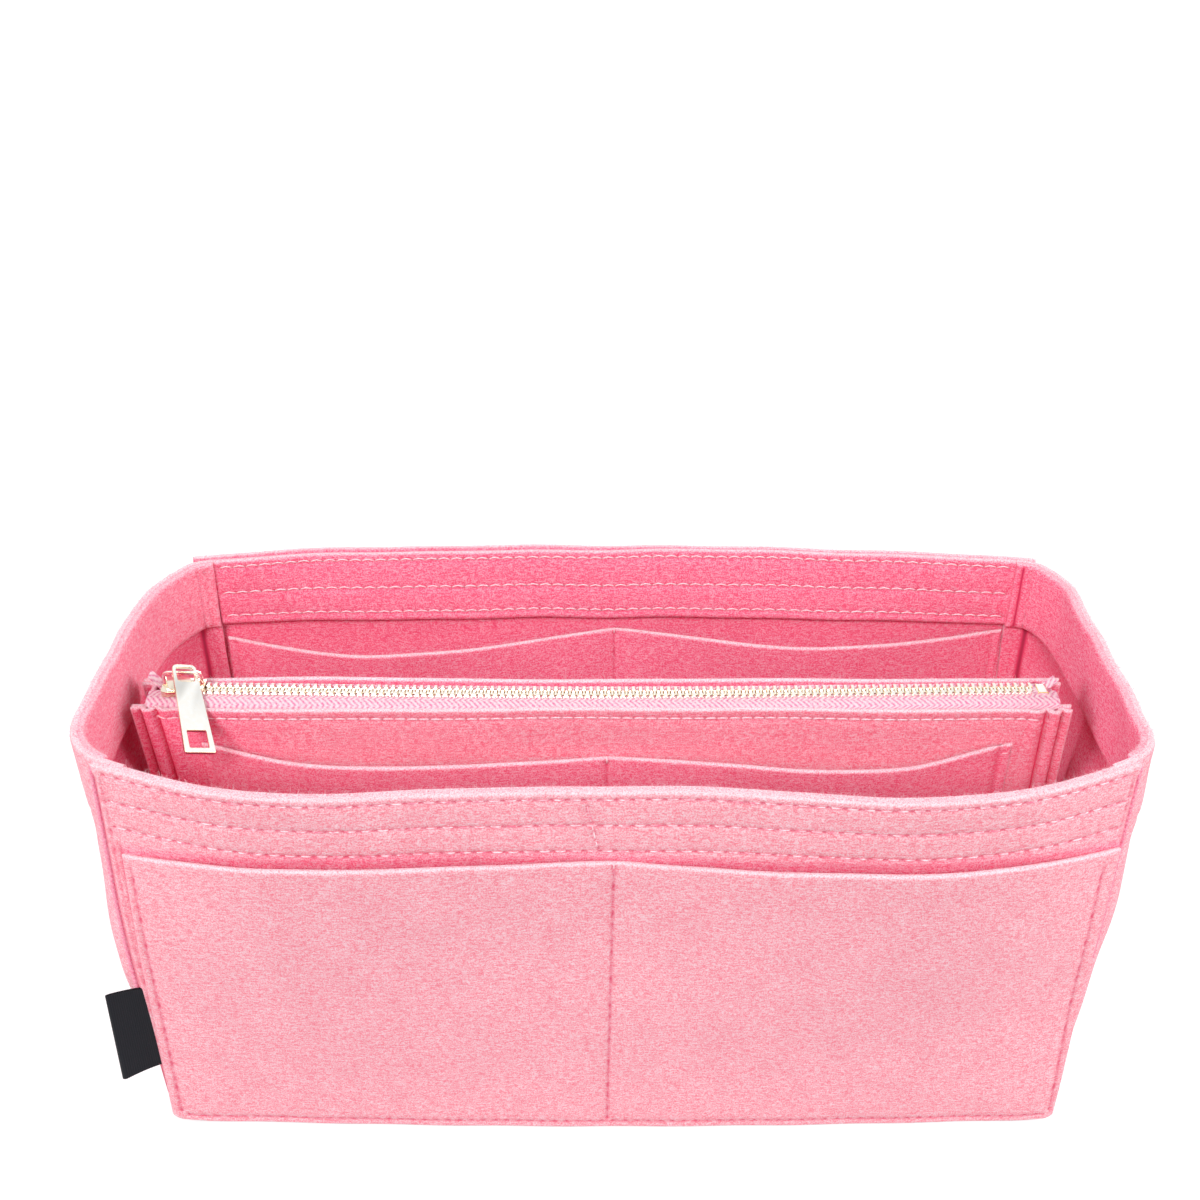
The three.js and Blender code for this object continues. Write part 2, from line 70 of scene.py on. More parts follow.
# 0 below low, 1 above high, with an even ease between
def smoothStep(x, low, high):
    t = np.clip((x - low) / (high - low), 0, 1)
    return t * t * (3 - 2 * t)


# outer face of the front wall: two lobes that grow with height
def frontFace(x, z):
    s = np.pi * x / tub["length"]
    rise = np.clip(z / rim, 0, 1.2) ** 1.2
    low = tub["frontBaseBow"] * np.cos(s)
    high = tub["frontBow"] * np.cos(s) + tub["frontLean"] * np.sin(2 * s) - tub["frontLobe"] * np.cos(3 * s)
    high = high + tub["frontShoulder"] * np.cos(5 * s)
    return -halfDepth - low - (high - low) * rise


# outer face of the back wall: a shallow bow that flares near the rim
def backFace(x, z):
    up = z / rim
    flare = tub["backFlare"] * (1 - (x / halfLength) ** 4) * up ** 5
    return halfDepth + tub["backBow"] * np.cos(np.pi * x / tub["length"]) * up + flare


# soft unevenness of felt: a few long waves with fixed random phases
def ripple(u, v, seed, amount, wave=60):
    rng = np.random.RandomState(seed)
    total = np.zeros(np.broadcast(u, v).shape)
    for k in range(6):
        angle, phase, size = rng.uniform(0, np.pi), rng.uniform(0, 6.28), wave * rng.uniform(0.5, 1.8)
        total = total + np.sin((u * np.cos(angle) + v * np.sin(angle)) * 6.28 / size + phase)
    return amount * total / 2.4


# smooth line through given places: straight between them, then a running mean with a bell weight
def lineThrough(places, width=6):
    places = np.array(places, float)
    margin, reach = 40, 24
    at = np.arange(places[0, 0] - margin, places[-1, 0] + margin + 1, 1.0)
    value = np.interp(at, places[:, 0], places[:, 1])
    weight = np.exp(-0.5 * (np.arange(-reach, reach + 1) / width) ** 2)
    soft = np.convolve(np.pad(value, reach, "edge"), weight / weight.sum(), "valid")
    return lambda u: np.interp(u, at, soft)


# grid lines at an even step, closer together at sewn rows and at both ends
def gridLines(low, high, step, rows=()):
    even = np.linspace(low, high, int(round((high - low) / step)) + 1)
    nearEnds = np.array([0, 0.1, 0.3, 0.6, 1.0, 1.5, 2.2])
    nearRow = np.arange(-1.6, 1.61, 0.4)
    lines = np.sort(np.concatenate([even, low + nearEnds, high - nearEnds] + [row + nearRow for row in rows]))
    lines = lines[(lines >= low) & (lines <= high)]
    kept = np.concatenate([[True], np.diff(lines) > 0.08])
    kept[-1] = True
    return lines[kept]


# vectors brought to length one
def unit(vectors):
    return vectors / np.linalg.norm(vectors, axis=-1, keepdims=True)


# points of a surface from their three coordinates, each a grid or one value
def spots(x, y, z):
    return np.stack(np.broadcast_arrays(x, y, z), -1)


# unit normals of a surface function, from its slopes in both directions
def normalsOf(surface, u, v):
    near = 0.4
    across = surface(u + near, v) - surface(u - near, v)
    along = surface(u, v + near) - surface(u, v - near)
    return unit(np.cross(across, along))


# a sewn line on a sheet: its ends, stitch length, darkness of the painted shade in its groove and pits, width
# and the face it marks (0 is both)
def sewn(u0, v0, u1, v1, pitch=stitch, dark=0.8, width=0.6, face=0):
    return u0, v0, u1, v1, pitch, dark, width, face


# a line up the sheet at one u
def upright(u, low, high, *look):
    return sewn(u, low, u, high, *look)


# a line along the sheet at one v
def level(v, low, high, *look):
    return sewn(low, v, high, v, *look)


# how far a grid point is from a sewn line, and its place along it
def seamPlace(u, v, line):
    u0, v0, u1, v1 = line[:4]
    length = np.hypot(u1 - u0, v1 - v0)
    du, dv = (u1 - u0) / length, (v1 - v0) / length
    along = (u - u0) * du + (v - v0) * dv
    over = np.maximum(np.maximum(-along, along - length), 0)
    return np.hypot((u - u0) * dv - (v - v0) * du, over), along


# quads of a closed sheet: the two faces and the strip round its border
def sheetFaces(rows, columns):
    a = np.arange(rows * columns).reshape(rows, columns)
    b = a + rows * columns

    def quads(p, q, r, s):
        return np.stack([p.ravel(), q.ravel(), r.ravel(), s.ravel()], 1)

    return np.concatenate([
        quads(a[:-1, :-1], a[:-1, 1:], a[1:, 1:], a[1:, :-1]),
        quads(b[:-1, :-1], b[1:, :-1], b[1:, 1:], b[:-1, 1:]),
        quads(a[0, 1:], a[0, :-1], b[0, :-1], b[0, 1:]),
        quads(a[-1, :-1], a[-1, 1:], b[-1, 1:], b[-1, :-1]),
        quads(a[:-1, 0], a[1:, 0], b[1:, 0], b[:-1, 0]),
        quads(a[1:, -1], a[:-1, -1], b[:-1, -1], b[1:, -1]),
    ]).tolist()


# faces of equal tubes, each a stack of rings with a cap at both ends; turned runs round them the other way
def tubeFaces(rings, sides, count=1, turned=False):
    i, j = np.meshgrid(np.arange(rings - 1), np.arange(sides), indexing="ij")
    k = (j + 1) % sides
    near, far = i * sides, (i + 1) * sides
    quads = np.stack([near + j, near + k, far + k, far + j], -1).reshape(-1, 4)
    caps = [np.arange(sides)[::-1], np.arange(sides) + (rings - 1) * sides]
    if turned:
        quads, caps = quads[:, [0, 3, 2, 1]], [cap[::-1] for cap in caps]
    start = np.arange(count)[:, None] * rings * sides
    faces = (quads[None] + start[:, None]).reshape(-1, 4).tolist()
    for cap in caps:
        faces += (cap[None] + start).tolist()
    return faces


# mesh from whole arrays of points; uv and values are given by point, outward turns every face out
def buildMesh(name, points, faces, uv=None, values=None, outward=False, smooth=True):
    mesh = bpy.data.meshes.new(name)
    mesh.from_pydata((points.reshape(-1, 3) * mm).tolist(), [], faces)
    if outward:
        work = bmesh.new()
        work.from_mesh(mesh)
        bmesh.ops.recalc_face_normals(work, faces=work.faces)
        work.to_mesh(mesh)
        work.free()
    mesh.polygons.foreach_set("use_smooth", np.full(len(mesh.polygons), smooth))
    if uv is not None:
        corner = np.zeros(len(mesh.loops), np.int32)
        mesh.loops.foreach_get("vertex_index", corner)
        mesh.uv_layers.new(name="cut").data.foreach_set("uv", uv[corner].ravel())
    for key, value in (values or {}).items():
        mesh.attributes.new(key, "FLOAT", "POINT").data.foreach_set("value", value.ravel())
    return mesh


# object at the origin that rides on a body
def addPiece(name, mesh, materials, body, slot, *replaced):
    for material in materials:
        mesh.materials.append(material)
    piece = bpy.data.objects.new(name, mesh)
    bpy.context.scene.collection.objects.link(piece)
    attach(piece, body)
    if replaced:
        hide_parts(*replaced)
    return piece


# sharp edges where both ends of an edge are ridge points
def sharpen(mesh, ridge):
    ends = np.zeros(len(mesh.edges) * 2, np.int32)
    mesh.edges.foreach_get("vertices", ends)
    sharp = ridge[ends].reshape(-1, 2).all(1)
    mesh.attributes.new("sharp_edge", "BOOLEAN", "EDGE").data.foreach_set("value", sharp)


# felt sheet round a middle surface: soft cut edges, grooves and pits at the sewn lines, with painted shade in
# the pits and along the lines;
# the shade tone is 0 for felt that faces out, which takes the lit colour, and 1 for felt inside the tub,
# which takes a painted-shade colour, one value for each side;
# plain names the borders (l, r, b, t) that butt against other felt and are neither rounded nor pale,
# dull those that are rounded but not pale; pale scales the pale cut edge, which is partly paler fibres and
# partly a painted highlight; deepen gives the painted-shade tone of the first face by place
def feltSheet(name, surface, uRange, vRange, seams=(), replaced=(), thick=felt, step=(1.1, 2.6), shadeTone=(1, 1),
              soften=(1.0, 1.0), rows=(), columns=(), plain="", dull="", pale=1.0, deepen=None):
    u, v = np.meshgrid(gridLines(*uRange, step[0], columns), gridLines(*vRange, step[1], rows))
    middle, n = surface(u, v), normalsOf(surface, u, v)
    reach = {"l": u - uRange[0], "r": uRange[1] - u, "b": v - vRange[0], "t": vRange[1] - v}
    border = np.minimum.reduce([reach[k] for k in reach if k not in plain])
    paleBorder = np.minimum.reduce([reach[k] for k in reach if k not in plain + dull])
    groove = np.zeros(u.shape)
    paintedShade = [np.zeros(u.shape), np.zeros(u.shape)]
    for line in seams:
        off, along = seamPlace(u, v, line)
        pitch, dark, width, face = line[4:]
        pit = (0.5 + 0.5 * np.cos(2 * np.pi * along / pitch)) ** 3
        groove = np.maximum(groove, np.exp(-(off / (width + 0.6)) ** 2) * (0.28 + 0.4 * pit))
        for k in (0, 1):
            if face in (0, 1 - 2 * k):
                paintedShade[k] = np.maximum(paintedShade[k], np.exp(-(off / width) ** 2) * (0.35 + 0.65 * pit) * dark)
    sides, ridge = [], []
    for side, radius in zip((1, -1), soften):
        ridge.append((border > 0.05) & (border < 0.2) & (radius < 0.2))
        rounded = 0.15 + 0.85 * np.sqrt(1 - (1 - np.clip(border / radius, 0, 1)) ** 2)
        sides.append(middle + n * side * (thick / 2 * rounded - groove)[..., None])
    first = shadeTone[0] + 0 * u if deepen is None else deepen(u, v)
    values = {
        "edge": np.tile((pale * np.exp(-(paleBorder / 0.6) ** 2)).ravel(), 2),
        "seam": np.stack(paintedShade),
        "shadeTone": np.stack([first, shadeTone[1] + 0 * u]),
    }
    uv = np.stack([u.ravel(), v.ravel()], 1)
    uv = np.concatenate([uv, uv + np.array([0, thick])]) * uvScale
    mesh = buildMesh(name, np.stack(sides), sheetFaces(*u.shape), uv, values)
    sharpen(mesh, np.stack(ridge).ravel())
    piece = addPiece(name, mesh, [feltPink], "tub", "felt", *replaced)
    return piece


# thin woven sheet of even thickness round a middle surface
def wovenSheet(name, surface, uLines, vLines, half, material, slot, node):
    u, v = np.meshgrid(uLines, vLines)
    middle, n = surface(u, v), normalsOf(surface, u, v)
    uv = np.tile(np.stack([u.ravel(), v.ravel()], 1) * uvScale, (2, 1))
    mesh = buildMesh(name, np.stack([middle + n * half, middle - n * half]), sheetFaces(*u.shape), uv)
    piece = addPiece(name, mesh, [material], "tub", slot, node)
    return piece


# the sewn lines of one face of a sheet, for threadRuns; arch bends each stitch sideways
def runsOn(surface, lines, arch=0, thick=felt, side=1):
    return [(surface, line, arch, thick, side) for line in lines]


# thread of sewn lines: each stitch a short tube that rises from one hole and dives into the next
def threadRuns(name, runs, material, radius=0.3, share=0.36):
    sides = 5
    reach = np.array([-1, -0.62, 0, 0.62, 1]) * share
    lift = np.array([-0.55, -0.02, 0.14, -0.02, -0.55])
    sunk = 0.25
    turn = np.arange(sides) * 2 * np.pi / sides
    blocks = []
    for surface, line, arch, thick, side in runs:
        u0, v0, u1, v1, pitch = line[:5]
        length = np.hypot(u1 - u0, v1 - v0)
        centre = np.arange(0.5, length / pitch - 0.3) * pitch
        s = centre[:, None] + reach * pitch
        bent = arch * (1 - (reach / share) ** 2)
        u = u0 + ((u1 - u0) * s - (v1 - v0) * bent) / length
        v = v0 + ((v1 - v0) * s + (u1 - u0) * bent) / length
        n = normalsOf(surface, u, v) * side
        spot = surface(u, v) + n * (thick / 2 - sunk + lift)[..., None]
        t = unit(np.gradient(spot, axis=1))
        b = unit(np.cross(t, n))
        up = np.cross(b, t)
        ring = b[:, :, None] * np.cos(turn)[:, None] + up[:, :, None] * np.sin(turn)[:, None]
        blocks.append(spot[:, :, None] + ring * radius)
    points = np.concatenate(blocks)
    faces = tubeFaces(len(reach), sides, len(points), True)
    return addPiece(name, buildMesh(name, points, faces, outward=True), [material], "tub", "felt")


# loose fibres on a felt edge: short bent hairs that start round the border's section and thin to a tip
def fuzz(name, edges, seed):
    rng = np.random.RandomState(seed)
    turn = np.arange(3) * 2 * np.pi / 3
    up = np.array([0, 0, 1])
    blocks = []
    for surface, uRange, v, thick, density in edges:
        count = int((uRange[1] - uRange[0]) * density)
        u, angle = rng.uniform(*uRange, count), rng.uniform(0, np.pi, count)
        at = v + 0 * u
        n = normalsOf(surface, u, at - 1)
        across, over = np.cos(angle), np.sin(angle)
        start = surface(u, at - 1.1 + 0.9 * over) + n * (across * (thick / 2 - 0.15))[:, None]
        out = unit(n * across[:, None] + up * over[:, None] + rng.normal(0, 0.55, (count, 3)))
        long = rng.uniform(0.5, 1.5, count)[:, None]
        curl = rng.normal(0, 0.4, (count, 3)) * long
        b = unit(np.cross(out, rng.normal(0, 1, (count, 3))))
        c = np.cross(out, b)
        ring = b[:, None] * np.cos(turn)[:, None] + c[:, None] * np.sin(turn)[:, None]
        root, bend, tip = start - out * 0.2, start + out * long * 0.55 + curl * 0.3, start + out * long + curl
        hair = [spot[:, None] + ring * radius for spot, radius in ((root, 0.05), (bend, 0.045), (tip, 0.02))]
        blocks.append(np.concatenate(hair, 1))
    points = np.concatenate(blocks)
    mesh = buildMesh(name, points, tubeFaces(3, 3, len(points)))
    return addPiece(name, mesh, [fibrePink], "tub", "felt")


# material with its node tree and its shader
def newMaterial(name, rough=0.5, specular=0.5):
    material = bpy.data.materials.new(name)
    material.use_nodes = True
    shader = material.node_tree.nodes["Principled BSDF"]
    shader.inputs["Roughness"].default_value = rough
    shader.inputs["Specular IOR Level"].default_value = specular
    return material, material.node_tree, shader


# adds a node with its settings, links or sets its inputs and returns one output
def addNode(tree, kind, output, inputs, **settings):
    node = tree.nodes.new("ShaderNode" + kind)
    for key, value in settings.items():
        setattr(node, key, value)
    for key, value in inputs.items():
        if isinstance(value, bpy.types.NodeSocket):
            tree.links.new(value, node.inputs[key])
        else:
            node.inputs[key].default_value = value
    return node.outputs[output]


# grain at a place: noise between 0 and 1
def noise(tree, vector, scale, detail=3, rough=0.6):
    inputs = {"Vector": vector, "Scale": scale, "Detail": detail, "Roughness": rough}
    return addNode(tree, "TexNoise", "Fac", inputs)


# colour between stops, each a place and a colour
def ramp(tree, value, *stops):
    node = tree.nodes.new("ShaderNodeValToRGB")
    while len(node.color_ramp.elements) < len(stops):
        node.color_ramp.elements.new(0.5)
    for element, (place, colour) in zip(node.color_ramp.elements, stops):
        element.position = place
        element.color = (*colour, 1)
    tree.links.new(value, node.inputs["Fac"])
    return node.outputs["Color"]


# colour a with an amount of b over it
def mixColour(tree, amount, a, b, kind="MIX"):
    b = b if isinstance(b, bpy.types.NodeSocket) else (*b, 1)
    inputs = {"Factor": amount, "A": a, "B": b}
    return addNode(tree, "Mix", "Result", inputs, data_type="RGBA", blend_type=kind)


# one function of two values
def math(tree, kind, a, b=0.0, clamp=False):
    return addNode(tree, "Math", 0, {0: a, 1: b}, operation=kind, use_clamp=clamp)


# product of two values
def times(tree, a, b, clamp=False):
    return math(tree, "MULTIPLY", a, b, clamp)


# sum of a base and of values with their weights
def weighted(tree, *parts, base=0.0):
    total = base
    for value, weight in parts:
        total = math(tree, "ADD", times(tree, value, weight), total)
    return total


# value stored at the mesh's points
def attribute(tree, name):
    return addNode(tree, "Attribute", "Fac", {}, attribute_name=name)


# place on the flat sheet
def cutPlace(tree):
    return addNode(tree, "UVMap", "UV", {}, uv_map="cut")


# place in the object, in metres
def objectPlace(tree):
    return addNode(tree, "TexCoord", "Object", {})


# first two coordinates of a place
def splitPlace(tree, vector):
    return [addNode(tree, "SeparateXYZ", axis, {"Vector": vector}) for axis in ("X", "Y")]


# place multiplied by a scale along each axis
def stretched(tree, vector, scale):
    return addNode(tree, "Mapping", "Vector", {"Vector": vector, "Scale": scale})


# gives a surface its colour and its relief
def finishLook(tree, shader, colour, height, distance, strength):
    relief = addNode(tree, "Bump", "Normal", {"Height": height, "Distance": distance, "Strength": strength})
    tree.links.new(colour, shader.inputs["Base Color"])
    tree.links.new(relief, shader.inputs["Normal"])


# outer is the lit felt colour and inner its painted-shade copy for felt inside the tub; cut is the pale cut
# edge, partly a painted highlight; sewn and fold are painted shade at stitches, creases and under layers
feltLook = {
    "outer": ((0.95, 0.26, 0.33), (0.955, 0.445, 0.52), (0.975, 0.70, 0.755)),
    "inner": ((0.95, 0.115, 0.235), (0.975, 0.232, 0.365), (0.99, 0.48, 0.60)),
    "stops": (0.435, 0.5, 0.575), "cloud": (0.97, 0.91, 0.92),
    "cut": (0.985, 0.77, 0.82), "sewn": (0.78, 0.06, 0.15), "fold": (0.33, 0.03, 0.07),
}


# pressed felt: fibres drawn out along the sheet, flecks, slow clouds, pale cut edges that are partly a
# painted highlight, painted shade in the pits at stitches and still darker painted shade in folds; the shade
# tone mixes the lit outer colour with the painted-shade inner one
def feltMaterial(look):
    material, tree, shader = newMaterial("feltPink", 0.95, 0.1)
    place = cutPlace(tree)
    fibre = noise(tree, stretched(tree, place, (0.4, 1.4, 1)), 105, 4, 0.7)
    fleck = noise(tree, objectPlace(tree), 2000, 3, 0.7)
    streak = noise(tree, stretched(tree, place, (0.35, 1.3, 1)), 45, 2, 0.5)
    both = weighted(tree, (fibre, 0.38), (fleck, 0.54), (streak, 0.08))
    outer = ramp(tree, both, *zip(look["stops"], look["outer"]))
    inner = ramp(tree, both, *zip(look["stops"], look["inner"]))
    colour = mixColour(tree, attribute(tree, "shadeTone"), outer, inner)
    cloud = ramp(tree, noise(tree, place, 7, 3, 0.55), (0.3, look["cloud"]), (0.7, (1, 1, 1)))
    colour = mixColour(tree, 1.0, colour, cloud, "MULTIPLY")
    cut = times(tree, attribute(tree, "edge"), weighted(tree, (fleck, 3.6), base=-1.0), True)
    colour = mixColour(tree, cut, colour, look["cut"])
    seam = attribute(tree, "seam")
    colour = mixColour(tree, times(tree, seam, 0.75, True), colour, look["sewn"])
    fold = times(tree, math(tree, "SUBTRACT", seam, 1.3), 1.2, True)
    colour = mixColour(tree, fold, colour, look["fold"])
    finishLook(tree, shader, colour, both, 0.0012, 0.6)
    return material


threadLook = {"base": (1.0, 0.80, 0.84), "dark": (0.96, 0.55, 0.63), "turns": 1800}
deepThreadLook = {"base": (0.92, 0.36, 0.47), "dark": (0.82, 0.16, 0.28), "turns": 1800}
# the front thread's pale base is a painted glint on some stitches
frontThreadLook = {"base": (1.0, 0.80, 0.85), "dark": (0.86, 0.20, 0.32), "turns": 420}
fibreColour = (0.97, 0.62, 0.69)


# sewing thread: two shades in turns along the run; in the front thread the turns are long and the pale shade
# is a painted glint
def threadMaterial(name, look):
    material, tree, shader = newMaterial(name)
    turn = noise(tree, objectPlace(tree), look["turns"], 2, 0.5)
    colour = ramp(tree, turn, (0.35, look["dark"]), (0.6, look["base"]))
    finishLook(tree, shader, colour, turn, 0.0002, 0.5)
    return material


# single fibres are plain and pale
def fibreMaterial(colour):
    material, tree, shader = newMaterial("fibrePink", 0.9, 0.1)
    shader.inputs["Base Color"].default_value = (*colour, 1)
    return material


feltPink = feltMaterial(feltLook)
threadPink = threadMaterial("threadPink", threadLook)
threadDeep = threadMaterial("threadDeep", deepThreadLook)
threadFront = threadMaterial("threadFront", frontThreadLook)
fibrePink = fibreMaterial(fibreColour)
print("felt and thread materials ready")


# front wall, its facing and the pocket on its outside
frontWall = {
    "wave": 0.35, "rows": (rim - 2.6, rim - 13.1, rim - 23.9), "footOut": 1.2, "footRise": 1.6,
    "leftOut": ((0, 1.0), (40, 3.0), (70, 4.0), (100, 3.7), (124, 3.0), (162, 1.4)),
    "leftCrease": -164.5, "leftSeam": -162.2, "rightSeam": 162.6, "rightCrease": 164.6, "facingHalf": 161,
}
outerPocket = {
    "left": -160, "right": 164, "seam": 2, "height": 134.5, "gape": 3.2, "off": 0.15, "footSeam": 3.2,
    "leftOut": ((0, 5.8), (30, 5.4), (70, 4.5), (100, 3.0), (130, 1.5)),
    "edge": ((-160, 128), (-129, 133.3), (-105, 135.6), (-77, 136), (-45, 135.1), (0, 135), (12, 134),
             (40, 133.2), (71, 134.7), (100, 135.4), (125, 134.7), (143, 132.9), (164, 129.6)),
}
outerEdge = lineThrough(outerPocket["edge"])
pocketOut = lineThrough(outerPocket["leftOut"], 8)
leftOut = lineThrough(frontWall["leftOut"], 8)


# lifts the bottom corners of a wall on a quarter circle, and its ends a little
def roundedFoot(x, left, right):
    r = tub["cornerRound"]
    near = np.minimum(x - left, right - x)
    inside = np.clip(r - near, 0, r)
    return r - np.sqrt(r * r - inside * inside) + frontWall["footRise"] * np.clip(1 - near / 18, 0, 1) ** 2


# the bottom corners stand out a little from the wall
def footOut(x, z):
    return frontWall["footOut"] * (np.abs(x) / halfLength) ** 6 * (1 - smoothStep(z, 0, 45))


# waves of the front wall
def frontWave(u, z):
    return ripple(u, z, 3, frontWall["wave"], 70)


# front wall at a depth behind its outer face: v climbs from the foot to the rim, the left end is drawn out
def frontLayer(depth, foot):
    def surface(u, v):
        low = roundedFoot(u, -halfLength, halfLength) if foot == 0 else foot
        z = low + (rim - low) * (v - foot) / (rim - foot)
        y = frontFace(u, z) + depth + felt / 2 + frontWave(u, z) - footOut(u, z)
        x = u - leftOut(z) * np.clip(-u / halfLength, 0, None) ** 8
        return spots(x, y, z + ripple(u, 0 * z, 5, frontWall["wave"], 80) * (v / rim) ** 4)
    return surface


# pocket on the front wall: v climbs to the curved mouth, which gapes in the middle of each half
def outerPocketSurface(u, v):
    p = outerPocket
    low = roundedFoot(u, p["left"], p["right"])
    s = np.clip(np.abs(u - p["seam"]) / (p["right"] - p["seam"]), 0, 1)
    z = low + (outerEdge(u) - low) * v / p["height"]
    gape = p["gape"] * np.sin(np.pi * s) * (np.clip(v, 0, None) / p["height"]) ** 1.5
    y = frontFace(u, z) - p["off"] - gape - felt / 2 + frontWave(u, z) - footOut(u, z)
    x = u - pocketOut(z) * np.clip(u / p["left"], 0, None) ** 8
    return spots(x, y, z)


# the wall is in the shade just above the pocket's mouth
def mouthShade(u, v):
    return 0.9 * (1 - smoothStep(v - outerEdge(u), -1, 4.5)) * smoothStep(u, -162, -157)


frontOuter, frontInner = frontLayer(0, 0), frontLayer(layer, facingFoot)
frontRows = [level(row, -161, 162, stitch, 1.15, 0.5) for row in frontWall["rows"]]
frontJoin = [sewn(-10, 157, -6.5, 138, 3.6)]
frontSides = [upright(frontWall["leftSeam"], 4, 157, 4, 0.9),
              upright(frontWall["rightSeam"], 134, 157, 4, 0.9)]
# painted shade: dark lines along the creases at the front wall's ends and beside its left seam
frontCreases = [
    upright(frontWall["leftCrease"], 3, 157, unbroken, 0.5, 0.7, 1),
    upright(frontWall["rightCrease"], 3, 157, unbroken, 0.3, 0.6, 1),
    sewn(-161, 40, -160, 130, unbroken, 0.85, 0.7, 1),
]
pocketSeams = [
    sewn(-157.0, 5, -157.4, 131, 4.4, 1.3), sewn(162, 5, 158.2, 131, 4.4, 1.3),
    sewn(-1.6, 133, -3.2, 3, 4.4, 1.3), level(outerPocket["footSeam"], -155, 160, 4.4, 1.2),
]
barTack = [upright(-1.6, 131.6, 135.2, 3.4)]
cornerJoins = [upright(-165.5, 32, 160, 2.4), upright(165.5, 76, 160, 2.4)]
cornerFeet = [upright(-163.9, 5, 33, 2.4), sewn(163.9, 5, 164.2, 77, 2.4)]
feltSheet("frontPanelFelt", frontOuter, (-halfLength, halfLength), (0, rim),
          frontRows + frontSides + frontJoin + frontCreases, ["front_panel"], thick=doubled, shadeTone=(0, 1),
          soften=(2.2, 0.06), rows=frontWall["rows"], columns=(-164.5, -162.2, -160.6, 162.6, 164.6),
          dull="lrb", pale=0.9, deepen=mouthShade)
feltSheet("frontFacingFelt", frontInner, (-frontWall["facingHalf"], frontWall["facingHalf"]),
          (facingFoot, facingTop), frontRows, ["front_rim_facing"], thick=facingThick, soften=(0.06, 2.2),
          rows=frontWall["rows"], dull="lrb", pale=0.85)
feltSheet("frontOuterPocketFelt", outerPocketSurface, (outerPocket["left"], outerPocket["right"]),
          (0, outerPocket["height"]), pocketSeams, ["front_outer_pocket"], shadeTone=(0, 1), soften=(1.3, 0.8),
          rows=(outerPocket["footSeam"],), columns=(-156.4, -2.4, 160), dull="lrb")
threadRuns("frontThread", runsOn(frontOuter, frontRows + frontJoin, 0.1, doubled)
           + runsOn(frontInner, frontRows, 0.3, facingThick, -1) + runsOn(outerPocketSurface, barTack),
           threadFront, 0.23)
threadRuns("frontCornerThread", runsOn(frontOuter, cornerJoins, 0.1, -0.2)
           + runsOn(frontOuter, cornerFeet, 0.1, -4.2), threadDeep, 0.9, 0.58)
fuzz("frontFuzz", [
    (frontOuter, (-164, 164), rim, doubled, 5), (frontInner, (-160, 160), rim, doubled, 3),
    (outerPocketSurface, (-159, 163), outerPocket["height"], felt, 3),
], 71)
print("front wall built")


# back wall, its facing and the pocket on its inside
backWall = {"wave": 0.35, "rimWave": 0.4, "proud": 0.9, "rows": (rim - 3.1, rim - 14.3, rim - 24.5),
            "sideSeam": 162.4, "footSeam": 2.6, "shade": facingFoot - 1.2, "broadShade": facingFoot - 8}
backPocket = {
    "foot": 8.3, "height": 129.5, "gape": 8, "sideSeam": 152.6, "footSeam": 11,
    "edge": ((-156, 128.4), (-147, 125.9), (-123, 123), (-103, 121.5), (-93, 121.8), (-58, 124.1),
             (-22, 127.3), (2, 129.5), (35, 127.5), (59, 125.9), (80, 125.2), (115, 127), (139, 129.1),
             (156, 131.6)),
}
backEdge = lineThrough(backPocket["edge"], 5)


# waves of the back wall
def backWave(u, z):
    return ripple(u, z, 11, backWall["wave"], 80)


# waves of the back rim's height
def backRimWave(u):
    return ripple(u, 0 * u, 12, backWall["rimWave"], 90)


# back wall seen from outside: u runs from right to left, one half of the rim stands a little proud
def backOuter(u, v):
    low = roundedFoot(u, -halfLength, halfLength)
    z = low + (rim - low) * v / rim
    y = backFace(u, z) - felt / 2 + backWave(u, z)
    proud = backWall["proud"] * smoothStep(u, -40, 40)
    return spots(-u, y, z + (backRimWave(u) + proud) * (v / rim) ** 4)


# facing: one layer inside the back wall, with its waves
def backInner(u, v):
    y = backFace(u, v) - layer - felt / 2 + backWave(-u, v)
    return spots(u, y, v - 0.3 + backRimWave(-u))


# height and gape of a patch pocket: its mouth follows an edge line and gapes in the middle of each half
def patchPocket(p, edge, u, v, s):
    share = (v - p["foot"]) / (p["height"] - p["foot"])
    z = p["foot"] + (edge(u) - p["foot"]) * share
    return z, p["gape"] * np.sin(np.pi * s) * np.clip(share, 0, None) ** 1.5


# pocket on the inside of the back wall
def backPocketSurface(u, v):
    z, gape = patchPocket(backPocket, backEdge, u, v, np.clip(np.abs(u) / facingEnd, 0, 1))
    y = backFace(u, z) - layer - gape - felt / 2 + backWave(-u, z)
    return spots(u, y, z)


backRows = [level(row, -155, 155, stitch, 0.4) for row in backWall["rows"]]
backSides = [upright(at, 4, 158, 4) for at in (-backWall["sideSeam"], backWall["sideSeam"])]
backSides += [level(backWall["footSeam"], -158, 158, 4.2)]
